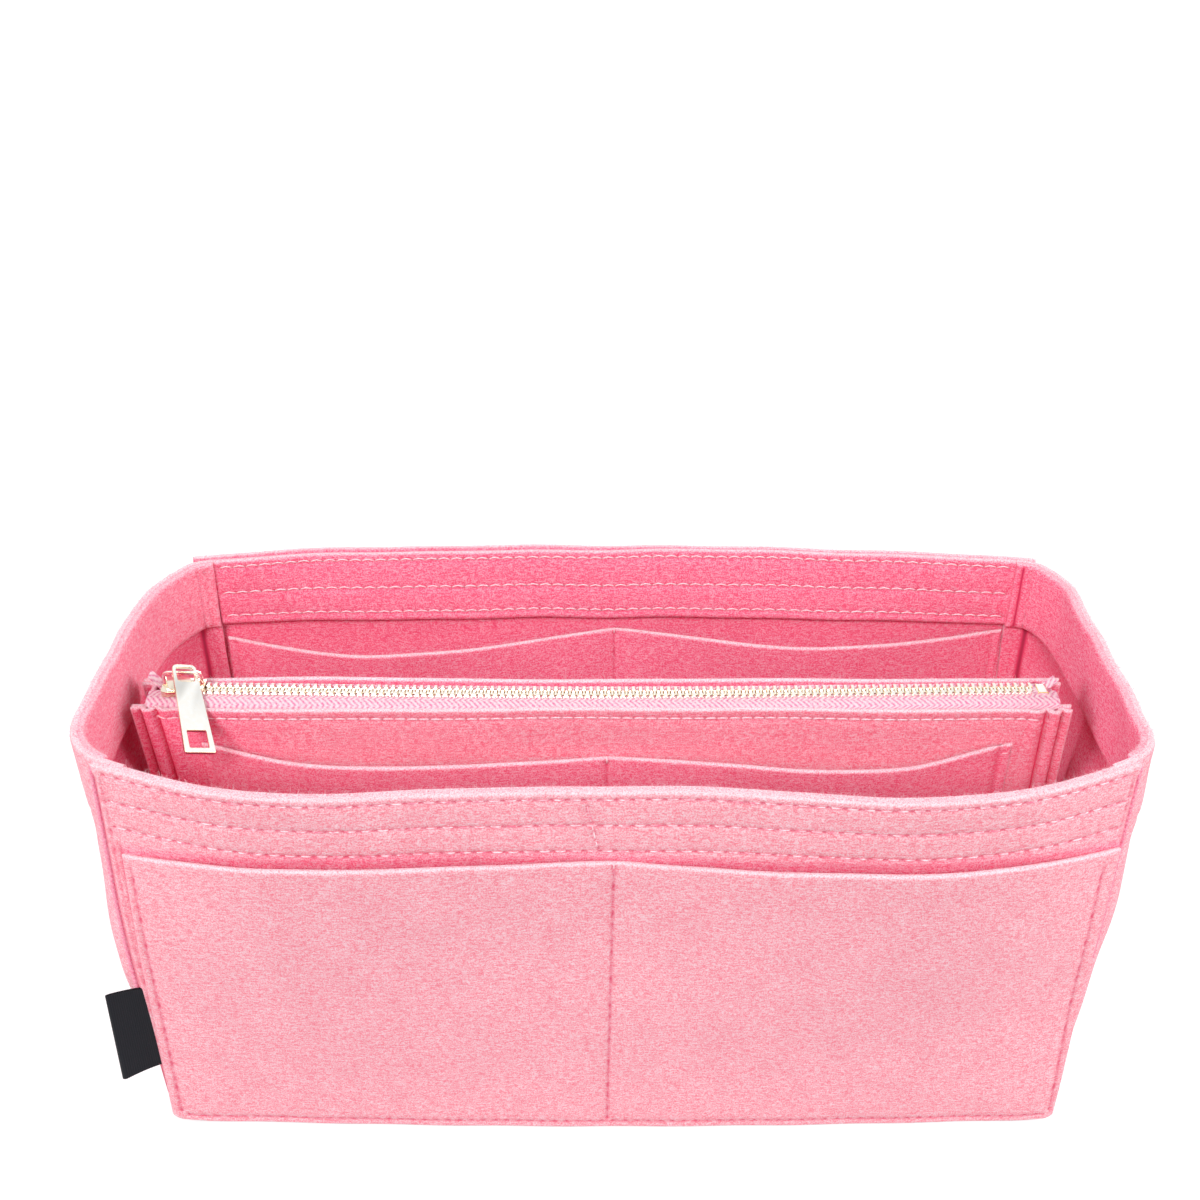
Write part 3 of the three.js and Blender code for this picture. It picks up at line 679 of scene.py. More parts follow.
# painted shadow on the back wall's inside under the facing: a narrow dark line and a broad faint band
underFacing = [level(backWall["shade"], -158, 158, unbroken, 0.4, 1.6, -1),
               level(backWall["broadShade"], -158, 158, unbroken, 0.2, 12, -1)]
backPocketSeams = [upright(0, 10, 129, 4.2, 1.2), level(backPocket["footSeam"], -154, 154, 4.2)]
pocketSides = (-backPocket["sideSeam"], backPocket["sideSeam"])
backPocketSeams += [upright(at, 10, 128, 4.2, 0.4) for at in pocketSides]
backTack = [upright(0, 127, 130.4, 3.2)]
feltSheet("backPanelFelt", backOuter, (-halfLength, halfLength), (0, rim), backRows + backSides + underFacing,
          ["back_panel"], thick=doubled, shadeTone=(0, 1), soften=(1.5, 0.06),
          rows=backWall["rows"] + (backWall["footSeam"], backWall["shade"]),
          columns=(-backWall["sideSeam"], backWall["sideSeam"]), dull="lrb", pale=0.9)
feltSheet("backFacingFelt", backInner, (-butt, butt), (facingFoot, rim), backRows, ["back_rim_facing"],
          thick=facingThick, soften=(1.8, 0.06), rows=backWall["rows"], plain="lr", dull="b", pale=0.9)
feltSheet("backInnerPocketFelt", backPocketSurface, (-facingEnd, facingEnd),
          (backPocket["foot"], backPocket["height"]), backPocketSeams, ["back_inner_pocket"],
          rows=(backPocket["footSeam"],), columns=(*pocketSides, 0), dull="lrb")
threadRuns("backThread", runsOn(backOuter, backRows + backSides, 0, doubled)
           + runsOn(backPocketSurface, backTack), threadPink)
threadRuns("backFacingThread", runsOn(backInner, backRows, 0.9, facingThick), threadPink, 0.3, 0.46)
fuzz("backFuzz", [
    (backOuter, (-164, 164), rim, doubled, 4), (backInner, (-156, 156), rim, doubled, 4),
    (backPocketSurface, (-155, 155), backPocket["height"], felt, 3),
], 72)
print("back wall built")


# side walls: the plan path runs along the front flange, round the wall and along the back flange;
# flangeLines are distance from the facing's end, pitch, darkness of the painted shade and width, an unbroken
# one being only a painted shadow in the gap beside the flange;
# puff is a bulge's amount, place, width and the heights where it starts, is full, and ends
# shades are the height, darkness and width of the painted shade below the facings; the facings' shade tone
# paints the left one lighter than the right
sideWall = {"flat": 168.0, "pathSteps": 330, "heights": 60, "wave": 0.35, "seam": 4, "corner": 10.4,
            "facingStart": 9, "shades": ((facingFoot - 1, 0.9, 1.8), (facingFoot - 8, 0.5, 8))}
leftSide = {
    "flip": 1, "bow": 15, "frontPower": 8, "backPower": 3.5, "reach": pouch["left"], "seed": 21, "shadeTone": 0.6,
    "flangeLines": ((4, 4, 0.6, 0.6), (9.5, 4, 0.6, 0.6)), "puff": (3.2, -58, 12, (30, 66, 78, 114)),
}
rightSide = {
    "flip": -1, "bow": 10, "frontPower": 8.5, "backPower": 6, "reach": pouch["right"], "seed": 31,
    "shadeTone": 1.0, "flangeLines": ((3.4, unbroken, 1.7, 0.8), (9.5, 4, 0.6, 0.6)),
    "puff": (1.7, -56, 14, (55, 88, 130, 158)),
}


# half length of the pouch at a height: it widens evenly from its foot to its top
def pouchEnd(reach, z):
    return pouch["foot"] + (reach - pouch["foot"]) * (z - pouch["bottom"]) / (pouch["top"] - pouch["bottom"])


# even spacing along a plan path, then a running mean with a bell weight so that the folds are round
def softPath(path, steps, width):
    length = np.concatenate([[0], np.cumsum(np.hypot(*np.diff(path, axis=0).T))])
    even = np.linspace(0, length[-1], steps)
    flat = np.stack([np.interp(even, length, path[:, k]) for k in (0, 1)], 1)
    gap = length[-1] / (steps - 1)
    reach = int(np.ceil(3 * width / gap))
    weight = np.exp(-0.5 * (np.arange(-reach, reach + 1) * gap / width) ** 2)
    weight /= weight.sum()
    longer = np.concatenate([2 * flat[0] - flat[reach:0:-1], flat, 2 * flat[-1] - flat[-2:-reach - 2:-1]])
    return np.stack([np.convolve(longer[:, k], weight, "valid") for k in (0, 1)], 1)


# a table of plan paths read between its rows and columns; both shares run from 0 to 1
def readPlan(table, alongShare, upShare):
    rows, columns = table.shape[:2]
    i, j = np.clip(alongShare, 0, 1) * (columns - 1), np.clip(upShare, 0, 1) * (rows - 1)
    i0, j0 = np.minimum(i.astype(int), columns - 2), np.minimum(j.astype(int), rows - 2)
    a, b = (i - i0)[..., None], (j - j0)[..., None]
    low = table[j0, i0] * (1 - a) + table[j0, i0 + 1] * a
    high = table[j0 + 1, i0] * (1 - a) + table[j0 + 1, i0 + 1] * a
    return low * (1 - b) + high * b


# plan of a side wall at one height: a bulge, drawn in to the pouch's end seam, between two flanges
def sidePlan(side, z, depth):
    swell = side["bow"] * (1 - (1 - z / rim) ** 4)
    seamY = pouchFront + felt + tub["gap"] / 2
    half = halfDepth - layer
    y = np.linspace(-half, half, 240)

    def bulged(at):
        power = np.where(at < 0, side["frontPower"], side["backPower"])
        return -halfLength - swell * (1 - np.abs(at / half) ** power)

    drawn = smoothStep(z, tub["lip"], 36) * (1 - smoothStep(z, 84, facingFoot))
    pulled = (-pouchEnd(side["reach"], z) - layer - bulged(np.array(seamY))) * drawn
    amount, at, width, (low0, low1, high0, high1) = side["puff"]
    puff = amount * np.exp(-((y - at) / width) ** 2)
    puff = puff * smoothStep(z, low0, low1) * (1 - smoothStep(z, high0, high1))
    x = bulged(y) - puff + pulled * np.exp(-((y - seamY) / tub["crease"]) ** 2)
    run = -halfLength + np.linspace(tub["flange"], 0, 12, endpoint=False)
    frontRun = np.stack([run, frontFace(run, z) + layer], 1)
    backRun = np.stack([run, backFace(run, z) - layer], 1)[::-1]
    wholePath = np.concatenate([frontRun, np.stack([x, y], 1), backRun])
    path = softPath(wholePath, sideWall["pathSteps"], tub["fold"])
    slope = unit(np.gradient(path, axis=0))
    return path + np.stack([slope[:, 1], -slope[:, 0]], 1) * depth


# side wall or its facing: u runs along the plan path, v is the height
def sideLayer(side, depth, foot, inward):
    flat = sideWall["flat"]
    heights = np.linspace(foot, rim, sideWall["heights"])
    table = np.stack([sidePlan(side, z, depth + felt / 2) for z in heights])

    def surface(u, v):
        plan = readPlan(table, u / flat, (v - foot) / (rim - foot))
        push = ripple(u, v, side["seed"], sideWall["wave"], 55)
        z = v + ripple(u, 0 * v, side["seed"] + 1, sideWall["wave"], 60) * (v / rim) ** 4
        return spots(side["flip"] * (plan[..., 0] + push), plan[..., 1], z)

    def turned(u, v):
        return surface(flat - u, v)

    return surface if (side["flip"] > 0) == inward else turned


for sideName, side in (("left", leftSide), ("right", rightSide)):
    flat = sideWall["flat"]
    outer, inner = sideLayer(side, 0, 0, False), sideLayer(side, layer, facingFoot, True)
    bothCorners = (sideWall["corner"], flat - sideWall["corner"])
    flangeRows = [upright(at, 4, 157, 4) for at in (sideWall["seam"], flat - sideWall["seam"])]
    # painted shade: dark creases in the inner corners and dark bands below the facings
    cornerLines = [upright(at, 3, facingFoot, unbroken, 1.9, 2.2, -1) for at in bothCorners]
    footShade = [level(at, 12, flat - 12, unbroken, dark, wide, -1) for at, dark, wide in sideWall["shades"]]
    isLeft = side["flip"] > 0
    facingFlange = [upright(flat - at if isLeft else at, 135, 160, *look)
                    for at, *look in side["flangeLines"]]
    span = (sideWall["facingStart"], flat) if isLeft else (0, flat - sideWall["facingStart"])
    feltSheet(sideName + "SidePanelFelt", outer, (0, flat), (0, rim), flangeRows + cornerLines + footShade,
              [sideName + "_side_panel"], thick=doubled, shadeTone=(0, 1), soften=(2.2, 0.06), columns=bothCorners,
              plain="lr", dull="b", pale=0.9)
    feltSheet(sideName + "FacingFelt", inner, span, (facingFoot, facingTop), facingFlange,
              [sideName + "_rim_facing"], thick=facingThick, shadeTone=(side["shadeTone"], 1), soften=(2.2, 0.06),
              dull="lrb", pale=0.55)
    threadRuns(sideName + "Thread", runsOn(inner, facingFlange[1:], 0, facingThick), threadDeep, 0.26)
    middle = (10, flat - 10)
    sideEdges = [(outer, middle, rim, doubled, 5), (inner, middle, rim, doubled, 4)]
    fuzz(sideName + "Fuzz", sideEdges, side["seed"] + 2)
print("side walls built")


# floor with its lips turned up behind the walls
floorPlan = {"half": 162.5, "depth": 135, "under": 0.9, "flat": (341, 151), "lipIn": 0.4, "endLip": 63}


# floor: u is x, v runs from the front wall's foot to the back wall's
def floorSurface(u, v):
    front = frontFace(u, 0 * u) + layer - floorPlan["under"]
    back = backFace(u, 0 * u) - layer + floorPlan["under"]
    y = front + (back - front) * v / floorPlan["depth"]
    return spots(u, y, felt / 2)


# lip along a long wall: it follows the wall's face one layer inside
def longLip(face, inward):
    def surface(u, v):
        x = u * inward
        y = face(x, v) + inward * (layer + felt / 2 - floorPlan["lipIn"])
        return spots(x, y, v)
    return surface


# lip along a side wall: flat
def endLip(sign):
    def surface(u, v):
        x = sign * (halfLength - layer - felt / 2)
        return spots(x, sign * -u, v)
    return surface


for lipName, surface, reach in (
        ("frontLip", longLip(frontFace, 1), facingEnd), ("backLip", longLip(backFace, -1), facingEnd),
        ("leftLip", endLip(-1), floorPlan["endLip"]), ("rightLip", endLip(1), floorPlan["endLip"])):
    feltSheet(lipName + "Felt", surface, (-reach, reach), (0.4, tub["lip"]),
                          [level(5, -reach + 3, reach - 3, 4.2)], step=(1.4, 1.0))
feltSheet("baseFelt", floorSurface, (-floorPlan["half"], floorPlan["half"]), (0, floorPlan["depth"]), (),
          ["base_panel"], step=(3, 3))
print("floor built")


# pouch: two long panels, end gussets, a strip at the foot and a pocket on its front;
# endFold lists the soft upright folds beside an end seam as distance from the end, width and height
pouchPanel = {
    "wave": 0.3, "rimWave": 0.35, "topSeam": 141, "endFurrowShade": (3.4, 9, 321, 326.6),
    "endFold": ((6, 1.3, 1.5), (12.5, 2, 0.8), (3.4, 0.9, -1.5), (9, 1.2, -1.1)),
}
pouchPocket = {
    "left": -148, "right": 141.4, "foot": 10, "height": 131, "gape": 5.5,
    "leftSeam": -144.6, "midSeam": -3.5, "rightFold": 136.9, "footSeam": 12.6,
    "edge": ((-148, 132.6), (-142, 130.9), (-131, 128.4), (-118, 125.9), (-104, 125), (-84, 125.2),
             (-59, 125.8), (-37, 126.2), (-7, 125.9), (20, 126.1), (45, 125.8), (66, 124.1), (80, 123.6),
             (95, 123.4), (107, 124), (120, 127.2), (129, 129.9), (135, 131.2), (137, 131.9), (141.4, 132.4)),
}
gusset = {"flat": 26, "pathSteps": 80, "heights": 12, "fold": 0.8}
pouchStrip = {"half": 153, "z": 3.6}
pouchEdge = lineThrough(pouchPocket["edge"], 3)
pouchHeights = (pouch["bottom"], pouch["top"])


# x of a place along the pouch: both ends move out with height
def pouchSpan(u, z):
    left, right = -pouchEnd(pouch["left"], z), pouchEnd(pouch["right"], z)
    return left + (right - left) * u / pouch["flat"]


# sum of bell-shaped ridges and furrows near both ends
def endFolds(u):
    d = np.minimum(u, pouch["flat"] - u)
    return sum(height * np.exp(-((d - at) / width) ** 2) for at, width, height in pouchPanel["endFold"])


# waves of the pouch's panels
def pouchWave(u, z, seed=41):
    return ripple(u, z, seed, pouchPanel["wave"], 80)


# height of the panels' top edges with a little wave
def pouchRise(u, v, seed):
    return v + ripple(u, 0 * v, seed, pouchPanel["rimWave"], 90) * smoothStep(v, 60, pouch["top"])


# front panel: flat, with its end folds
def pouchFrontSurface(u, v):
    y = pouchFront + felt / 2 + pouchWave(u, v) - endFolds(u)
    return spots(pouchSpan(u, v), y, pouchRise(u, v, 42))


# back panel: flat, u runs from right to left
def pouchBackSurface(u, v):
    y = pouchBack - felt / 2 + pouchWave(u, v, 43)
    return spots(pouchSpan(pouch["flat"] - u, v), y, pouchRise(u, v, 44))


# pocket on the pouch's front
def pouchPocketSurface(u, v):
    p = pouchPocket
    middle, half = (p["left"] + p["right"]) / 2, (p["right"] - p["left"]) / 2
    z, gape = patchPocket(p, pouchEdge, u, v, np.clip(np.abs(u - middle) / half, 0, 1))
    return spots(u, pouchFront - tub["gap"] - gape - felt / 2 + pouchWave(u, z), z)


# gusset: a web with two flanges turned out against the long panels
def gussetLayer(side):
    rows = []
    low, high = pouchFront + layer + felt / 2, pouchBack - layer - felt / 2
    for z in np.linspace(*pouchHeights, gusset["heights"]):
        tip = -pouchEnd(side["reach"], z)
        web = tip + pouch["flange"] + felt / 2
        corners = np.array([[tip, low], [web, low], [web, high], [tip, high]])
        rows.append(softPath(corners, gusset["pathSteps"], gusset["fold"]))
    table = np.stack(rows)

    def surface(u, v):
        plan = readPlan(table, u / gusset["flat"], (v - pouch["bottom"]) / (pouch["top"] - pouch["bottom"]))
        return spots(side["flip"] * plan[..., 0], plan[..., 1], v)

    return surface


# strip: flat, between the two panels' feet
def stripSurface(u, v):
    return spots(u, v, pouchStrip["z"])


# painted shade: the front panel is deeper in tone towards its ends
def pouchShade(u, v):
    return 0.4 + 0.6 * (1 - smoothStep(u, 10, 70)) + 0.3 * smoothStep(u, 300, 325) + 0 * v


panelEnds = pouchPanel["endFurrowShade"]
topSeam = [level(pouchPanel["topSeam"], 8, 322, 4.2, 0.35)]
# painted shade along the furrows beside the end seams, without stitches
endFurrowShade = [upright(at, 5, 143, unbroken, 1.5, 0.7) for at in panelEnds]
# the unbroken line on the pocket's right fold is painted shade
pocketLines = [
    upright(pouchPocket["midSeam"], 11, 130, 4.2, 1.2), upright(pouchPocket["leftSeam"], 12, 130, 4.2, 0.4),
    upright(pouchPocket["rightFold"], 12, 130, unbroken, 0.55, 0.8, 1),
    level(pouchPocket["footSeam"], -146, 139.5, 4.2),
]
pouchTack = [level(127.6, 137.8, 140.8, 3.0), upright(pouchPocket["midSeam"], 128.2, 131.8, 3.2)]
feltSheet("pouchFrontFelt", pouchFrontSurface, (0, pouch["flat"]), pouchHeights, topSeam + endFurrowShade,
          ["pouch_front_panel"], rows=(pouchPanel["topSeam"],), columns=panelEnds, dull="b",
          soften=(0.8, 0.8), deepen=pouchShade)
feltSheet("pouchBackFelt", pouchBackSurface, (0, pouch["flat"]), pouchHeights, topSeam + endFurrowShade,
          ["pouch_back_panel"], rows=(pouchPanel["topSeam"],), columns=(panelEnds[0], panelEnds[-1]),
          dull="b", soften=(0.8, 0.8))
feltSheet("pouchPocketFelt", pouchPocketSurface, (pouchPocket["left"], pouchPocket["right"]),
          (pouchPocket["foot"], pouchPocket["height"]), pocketLines, ["pouch_front_pocket"], shadeTone=(0.85, 1),
          rows=(pouchPocket["footSeam"],),
          columns=(pouchPocket["leftSeam"], pouchPocket["midSeam"], pouchPocket["rightFold"]), dull="lb")
for sideName, side in (("Left", leftSide), ("Right", rightSide)):
    feltSheet("pouch" + sideName + "GussetFelt", gussetLayer(side), (0, gusset["flat"]), pouchHeights, (),
              ["pouch_" + sideName.lower() + "_gusset"], step=(0.5, 3), soften=(0.7, 0.7))
feltSheet("pouchStripFelt", stripSurface, (-pouchStrip["half"], pouchStrip["half"]),
          (pouchFront + layer, pouchBack - layer), (), ["pouch_bottom_strip"], step=(3, 2))
threadRuns("pouchThread", runsOn(pouchFrontSurface, topSeam, 0.5) + runsOn(pouchBackSurface, topSeam)
           + runsOn(pouchPocketSurface, pouchTack), threadPink, 0.32, 0.45)
fuzz("pouchFuzz", [
    (pouchFrontSurface, (1, 329), pouch["top"], felt, 3), (pouchBackSurface, (1, 329), pouch["top"], felt, 3),
    (pouchPocketSurface, (-147, 140.5), pouchPocket["height"], felt, 3),
], 73)
print("pouch built")


# zip: tapes, bead cords and teeth; shut and curl are measured from the middle towards each end
zipChain = {"y": -2, "z": 146.3, "pitch": 2.54, "first": -157.65, "count": 121, "sag": 1.7, "sagReach": 150}
zipTape = {
    "left": -167, "right": 157.5, "thick": 0.6, "edge": 2.1, "footLeft": 164.6, "footRight": 154.6,
    "shutLeft": (156.2, 158.8), "shutRight": (146.5, 149), "shutEdge": 0.2,
    "curlLeft": (5.5, 162, 167.5), "curlRight": (3.5, 153.5, 158),
    "frontSection": ((2.1, 0), (5.4, 0), (6.6, -0.35), (7.7, -1.3), (8.2, -2.2), (8.2, -8.5)),
    "backSection": ((2.1, 0), (4.8, 0), (5.6, -0.6), (6.4, -2.4), (7.2, -3.8), (8.2, -5), (8.2, -8.5)),
}
tapeLook = {"base": (0.81, 0.43, 0.53), "pale": (0.88, 0.65, 0.70), "dark": (0.72, 0.18, 0.35),
            "zigzag": 2.8, "ribs": 3.1}
# deep is the gold of painted shade and shade the grey of painted reflection; the edge gold is a deeper copy
# of the metal, a painted reflection on the eased edges
goldLook = {"base": (1.0, 0.98, 0.93), "worn": (1.0, 1.0, 0.98), "deep": (0.74, 0.50, 0.22),
            "shade": (0.60, 0.58, 0.55)}
edgeLook = {"base": (0.90, 0.66, 0.30), "worn": (0.97, 0.80, 0.50), "deep": (0.62, 0.38, 0.14),
            "shade": (0.62, 0.38, 0.14)}


# the chain hangs a little between its ends
def chainSag(x):
    return -zipChain["sag"] * np.clip(1 - (x / zipChain["sagReach"]) ** 2, 0, 1) ** 1.5


# places on the chain's middle line
def chainLine(x):
    return np.stack([x, 0 * x + zipChain["y"], chainSag(x) + zipChain["z"]], 1)


# woven tape: slanted ribs that change direction every few millimetres across the width
def tapeMaterial(look):
    material, tree, shader = newMaterial("tapeLilac", 0.75)
    place = cutPlace(tree)
    along, across = splitPlace(tree, place)
    zigzag = math(tree, "PINGPONG", times(tree, across, 1 / uvScale), look["zigzag"])
    slanted = weighted(tree, (along, 1 / uvScale), base=zigzag)
    rib = math(tree, "SINE", times(tree, slanted, look["ribs"]))
    rib = weighted(tree, (rib, 0.35), base=0.5)
    both = weighted(tree, (rib, 0.32), (noise(tree, place, 110, 3, 0.7), 0.68))
    colour = ramp(tree, both, (0.35, look["dark"]), (0.46, look["base"]), (0.62, look["pale"]))
    finishLook(tree, shader, colour, both, 0.0004, 0.6)
    return material


# plated metal: bright, with faint rub marks, grey patches of painted reflection on castings and painted shade
# of deeper gold in the hollows
def goldMaterial(name, look):
    material, tree, shader = newMaterial(name)
    shader.inputs["Metallic"].default_value = 1.0
    place = objectPlace(tree)
    rub = noise(tree, place, 420, 4, 0.65)
    bright = ramp(tree, rub, (0.4, look["base"]), (0.65, look["worn"]))
    # painted reflection: grey patches on the castings
    streak = noise(tree, stretched(tree, place, (1.8, 0.3, 0.3)), 85, 1, 0.4)
    paintedReflection = ramp(tree, streak, (0.52, (0, 0, 0)), (0.64, (0.9, 0.9, 0.9)))
    bright = mixColour(tree, times(tree, paintedReflection, attribute(tree, "cast")), bright, look["shade"])
    # painted shade: deeper gold in the hollows
    colour = mixColour(tree, attribute(tree, "paintedGoldShade"), bright, look["deep"])
    rough = ramp(tree, rub, (0.3, (0.08,) * 3), (0.7, (0.17,) * 3))
    tree.links.new(rough, shader.inputs["Roughness"])
    finishLook(tree, shader, colour, rub, 0.00008, 0.25)
    return material


tapeLilac = tapeMaterial(tapeLook)
paleGold = goldMaterial("paleGold", goldLook)
edgeGold = goldMaterial("edgeGold", edgeLook)


# tape: u runs along the zip, v along its section, flat beside the teeth and turned down in the panel;
# its ends close over the cord, and those of the back tape curl up
def tapeSurface(sign):
    t = zipTape
    section = np.array(t["backSection"] if sign > 0 else t["frontSection"])
    reach = np.concatenate([[0], np.cumsum(np.hypot(*np.diff(section, axis=0).T))])

    def surface(u, v):
        y = np.interp(v, reach, section[:, 0])
        z = np.interp(v, reach, section[:, 1])
        x = -sign * u
        shut = np.maximum(smoothStep(-x, *t["shutLeft"]), smoothStep(x, *t["shutRight"]))
        y = y - (t["edge"] - t["shutEdge"]) * shut * np.exp(-(v / 2.5) ** 2)
        keep = smoothStep(v, 5.5, 8.5)
        foot = t["footLeft"] + t["footRight"]
        short = -t["footLeft"] + (x - t["left"]) * foot / (t["right"] - t["left"])
        x = x * (1 - keep) + short * keep
        lift = ripple(x, 0 * v, 51 + sign, 0.12, 30)
        if sign > 0:
            left, *leftReach = t["curlLeft"]
            right, *rightReach = t["curlRight"]
            lift = lift + left * smoothStep(-x, *leftReach) + right * smoothStep(x, *rightReach)
        z = zipChain["z"] + z + (lift + chainSag(x)) * (1 - keep)
        return spots(x, zipChain["y"] + sign * y, z)

    return surface, reach[-1]


for tapeName, sign, node in (("zipTapeFront", -1, "zip_tape_front"), ("zipTapeBack", 1, "zip_tape_back")):
    surface, width = tapeSurface(sign)
    low, high = sorted((-sign * zipTape["left"], -sign * zipTape["right"]))
    wovenSheet(tapeName, surface, gridLines(low, high, 2.0), gridLines(0, width, 0.5), zipTape["thick"] / 2,
               tapeLilac, "zip_tape", node)


# sections of a tooth from its head to its jaws, and how deep the gold of the painted shade is round a section
# and along the tooth
tooth = {
    "across": (-1.1, -0.9, 0.2, 0.9, 1.2, 3.2, 3.45),
    "halfX": (0.42, 0.58, 0.61, 0.6, 0.92, 0.92, 0.8),
    "halfZ": (0.55, 0.9, 1.05, 1.1, 1.45, 1.45, 1.15),
    "corner": ((1, 0.55), (0.55, 1), (-0.55, 1), (-1, 0.55),
               (-1, -0.55), (-0.55, -1), (0.55, -1), (1, -0.55)),
    "deepRound": (0.8, 0.16, 0.16, 0.8, 1, 1, 1, 1),
    "deepAlong": (1, 1, 1, 1, 0.85, 0.65, 0.4),
}


# row of teeth: an eight-sided section that swells from the head to the jaws, carried across the chain
def zipTeeth(name, sign, shift, node):
    across, halfX, halfZ = (np.array(tooth[k])[:, None] for k in ("across", "halfX", "halfZ"))
    corner = np.array(tooth["corner"])[None]
    rings, sides, count = len(across), corner.shape[1], zipChain["count"]
    shape = np.stack([corner[..., 0] * halfX, np.repeat(across, sides, 1) * sign, corner[..., 1] * halfZ], -1)
    place = zipChain["first"] + shift + np.arange(count) * zipChain["pitch"]
    points = shape[None] + chainLine(place)[:, None, None]
    faces = tubeFaces(rings, sides, count)
    if sign > 0:
        faces = [face[::-1] for face in faces]
    # painted shade: deeper gold on the sides and underside of each tooth, most towards its head
    deep = np.array(tooth["deepRound"])[None] * np.array(tooth["deepAlong"])[:, None]
    paintedGoldShade = {"paintedGoldShade": np.tile(deep.ravel(), count)}
    mesh = buildMesh(name, points, faces, values=paintedGoldShade, outward=True, smooth=False)
    return addPiece(name, mesh, [paleGold], "tub", "zip_metal", node)


zipTeeth("zipTeethFront", -1, 0, "zip_teeth_front")
zipTeeth("zipTeethBack", 1, zipChain["pitch"] / 2, "zip_teeth_back")


beads = {"left": zipChain["first"] - 2.5, "right": 150.2, "rings": 120, "halfWidth": 0.55, "halfHeight": 0.5,
         "off": 1.85}


# bead cord in the grip of the teeth: an oval tube along the chain's line
def beadCord(name, sign):
    sides = 8
    x = np.linspace(beads["left"], beads["right"], beads["rings"])
    turn = np.arange(sides) * np.pi / 4
    y = np.cos(turn) * beads["halfWidth"] + sign * beads["off"]
    ring = np.stack([0 * turn, y, np.sin(turn) * beads["halfHeight"]], 1)
    points = ring[None] + chainLine(x)[:, None]
    uv = np.stack([np.repeat(x, sides), np.tile(turn, len(x))], 1) * uvScale
    mesh = buildMesh(name, points, tubeFaces(len(x), sides), uv, outward=True)
    return addPiece(name, mesh, [tapeLilac], "tub", "zip_tape")


beadCord("beadCordFront", -1)
beadCord("beadCordBack", 1)


# castings: the solid's own faces with their edges eased, the eased edges in edge gold as painted reflection,
# painted shade of deeper gold towards the foot and patches of painted reflection
def easedCasting(node, name, body, width, deepen=0.0):
    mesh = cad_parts[node].data.copy()
    mesh.name = name
    work = bmesh.new()
    work.from_mesh(mesh)
    bmesh.ops.remove_doubles(work, verts=work.verts, dist=1e-6)
    bmesh.ops.dissolve_limit(work, angle_limit=0.02, verts=work.verts, edges=work.edges)
    work.to_mesh(mesh)
    work.free()
    place = np.zeros(len(mesh.vertices) * 3)
    mesh.vertices.foreach_get("co", place)
    height = place[2::3] / mm
    low = 1 - smoothStep(height, height.min() + 1, height.max() - 1.2)
    for key, value in (("cast", np.ones(len(low))), ("paintedGoldShade", deepen * low)):
        mesh.attributes.new(key, "FLOAT", "POINT").data.foreach_set("value", value)
    mesh.polygons.foreach_set("use_smooth", np.ones(len(mesh.polygons), bool))
    mesh.materials.clear()
    piece = addPiece(name, mesh, [paleGold, edgeGold], body, "zip_metal", node)
    ease = piece.modifiers.new("ease", "BEVEL")
    # painted reflection: the eased edges take the deeper edge gold
    ease.material = 1
    ease.width = width * mm
    ease.segments = 2
    ease.limit_method = "ANGLE"
    ease.angle_limit = 0.6
    ease.harden_normals = True
    return piece


easedCasting("zip_slider", "zipSliderCast", "slider", 0.25, 0.85)
easedCasting("zip_pull", "zipPullCast", "pull", 0.3)
for stop in ("zip_top_stop_front", "zip_top_stop_back", "zip_bottom_stop"):
    easedCasting(stop, stop.replace("_", "") + "Cast", "tub", 0.3)
print("zip built")


# label: plain satin ribbon folded double, bent a little towards the front
label = {"reach": 14, "foot": 26.4, "height": 37.6, "bend": 4, "slant": 4.5, "half": 0.22, "widen": 0.1,
         "lift": 0.8, "apart": 0.24, "foldReach": 0.9, "inset": 0.95, "clear": 0.3}
ribbonLook = {"base": (0.006, 0.0065, 0.009), "pale": (0.02, 0.021, 0.027), "weft": 1500, "warp": 900}


# satin: fine crossed ribs
def ribbonMaterial(look):
    material, tree, shader = newMaterial("ribbonBlack", 0.6, 0.12)
    along, across = splitPlace(tree, cutPlace(tree))
    weft = math(tree, "SINE", times(tree, across, look["weft"]))
    warp = math(tree, "SINE", times(tree, along, look["warp"]))
    weave = weighted(tree, (weft, 0.3), (warp, 0.15), base=0.5)
    colour = ramp(tree, weave, (0.25, look["base"]), (0.8, look["pale"]))
    finishLook(tree, shader, colour, weave, 0.00012, 0.5)
    return material


# ribbon: u runs out along one half to the fold and back along the other, v climbs;
# it widens towards its foot, hangs lower at the fold and bends to the front
def labelSurface(u, v):
    p = label
    t = np.abs(u - p["reach"]) / p["reach"]
    rise = (v - p["foot"]) / p["height"]
    out = (1 - t) * p["reach"] * (1 + p["widen"] * (1 - rise))
    x = -halfLength - p["clear"] - out
    y = -halfDepth + p["inset"] + np.clip((u - p["reach"]) / p["foldReach"], -1, 1) * p["apart"]
    y = y - p["bend"] * np.clip(out / p["reach"], 0, 1) ** 1.6
    z = v - p["slant"] * (1 - t) * (1 - rise) + p["lift"]
    return spots(x, y, z)


wovenSheet("sideLabelRibbon", labelSurface, gridLines(0, 2 * label["reach"], 0.4),
           gridLines(label["foot"], label["foot"] + label["height"], 1), label["half"],
           ribbonMaterial(ribbonLook), "ribbon", "side_label")
print("label built")


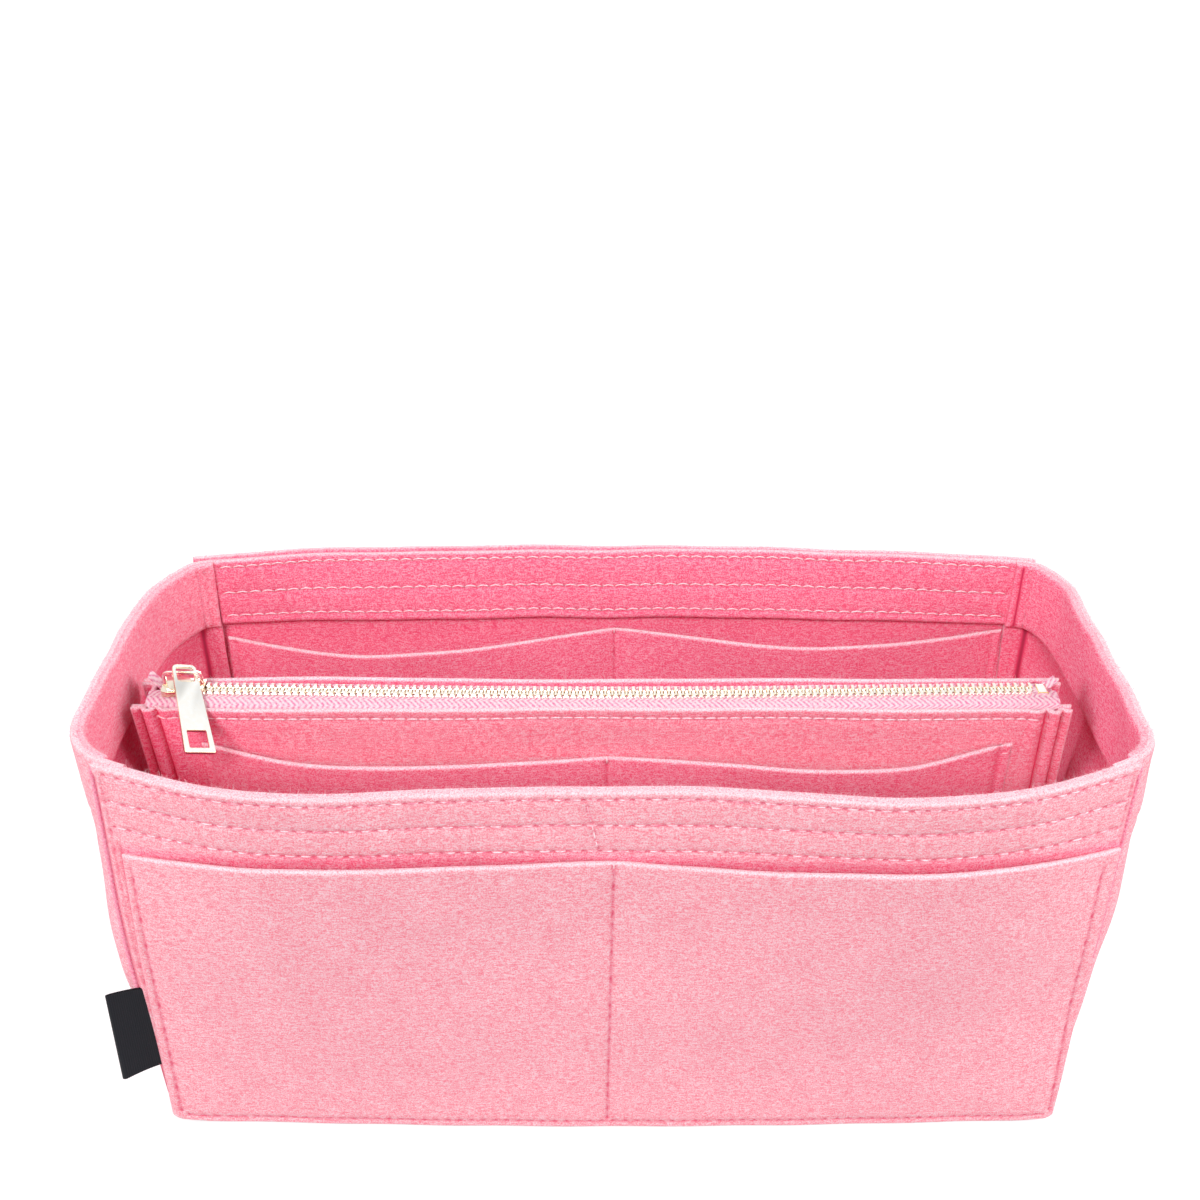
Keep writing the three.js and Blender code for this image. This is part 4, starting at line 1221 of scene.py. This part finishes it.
# stage: pale floor, white surroundings, soft light and the camera of the photograph;
# a sun has a name, strength, size in degrees and turn
stage = {
    "floor": (0.55, 0.545, 0.545), "floorHalf": 4.0, "floorZ": -0.0003, "glow": 0.55, "world": 0.43,
    "suns": (("front", 2.15, 20, (50, 0, -14)), ("left", 1.1, 40, (0, -68, 0)),
             ("right", 1.85, 40, (0, 68, 0)), ("back", 1.15, 30, (-80, 0, 0))),
    "lens": 44.504, "shift": 0.1309,
    "cameraPlace": (-0.0070, -0.45045, 0.43299), "cameraTurn": (54.8412, -0.0784, -0.0951),
}


# object in the scene
def stageItem(name, data):
    item = bpy.data.objects.new(name, data)
    bpy.context.scene.collection.objects.link(item)
    return item


# 1 for the named kinds of ray, the largest of their flags
def seenBy(tree, *rays):
    light = tree.nodes.new("ShaderNodeLightPath")
    seen = 0.0
    for ray in rays:
        seen = math(tree, "MAXIMUM", light.outputs["Is " + ray + " Ray"], seen)
    return seen


# square floor that glows where it is seen directly
def stageFloor():
    r, z = stage["floorHalf"], stage["floorZ"]
    mesh = bpy.data.meshes.new("paleFloor")
    mesh.from_pydata([(-r, -r, z), (r, -r, z), (r, r, z), (-r, r, z)], [], [(0, 1, 2, 3)])
    material, tree, shader = newMaterial("paleFloor", 1.0, 0.0)
    shader.inputs["Base Color"].default_value = (*stage["floor"], 1)
    shader.inputs["Emission Color"].default_value = (1, 1, 1, 1)
    glow = times(tree, seenBy(tree, "Camera", "Glossy"), stage["glow"])
    tree.links.new(glow, shader.inputs["Emission Strength"])
    mesh.materials.append(material)
    stageItem("paleFloor", mesh)


# surroundings: full white where seen directly, dimmer as a light
def stageWorld():
    world = bpy.data.worlds.new("softRoom")
    bpy.context.scene.world = world
    world.use_nodes = True
    tree = world.node_tree
    back = tree.nodes["Background"]
    back.inputs["Color"].default_value = (1, 1, 1, 1)
    seen = seenBy(tree, "Camera", "Glossy", "Transmission")
    strength = weighted(tree, (seen, 1 - stage["world"]), base=stage["world"])
    tree.links.new(strength, back.inputs["Strength"])


# sun lamp from a direction
def stageSun(name, energy, size, turn):
    lamp = bpy.data.lights.new(name + "Sun", "SUN")
    lamp.energy = energy
    lamp.angle = np.radians(size)
    item = stageItem(name + "Sun", lamp)
    item.location = (0, -0.8, 1.2)
    item.rotation_euler = np.radians(turn)


# camera fitted to the photograph
def stageCamera():
    camera = bpy.data.cameras.new("photoCamera")
    camera.sensor_width = 36
    camera.sensor_fit = "HORIZONTAL"
    camera.lens = stage["lens"]
    camera.shift_y = stage["shift"]
    item = stageItem("photoCamera", camera)
    item.location = stage["cameraPlace"]
    item.rotation_euler = np.radians(stage["cameraTurn"])
    bpy.context.scene.camera = item


stageFloor()
stageWorld()
for sun in stage["suns"]:
    stageSun(*sun)
stageCamera()
bpy.context.scene.view_settings.view_transform = "Standard"

print("stage built")
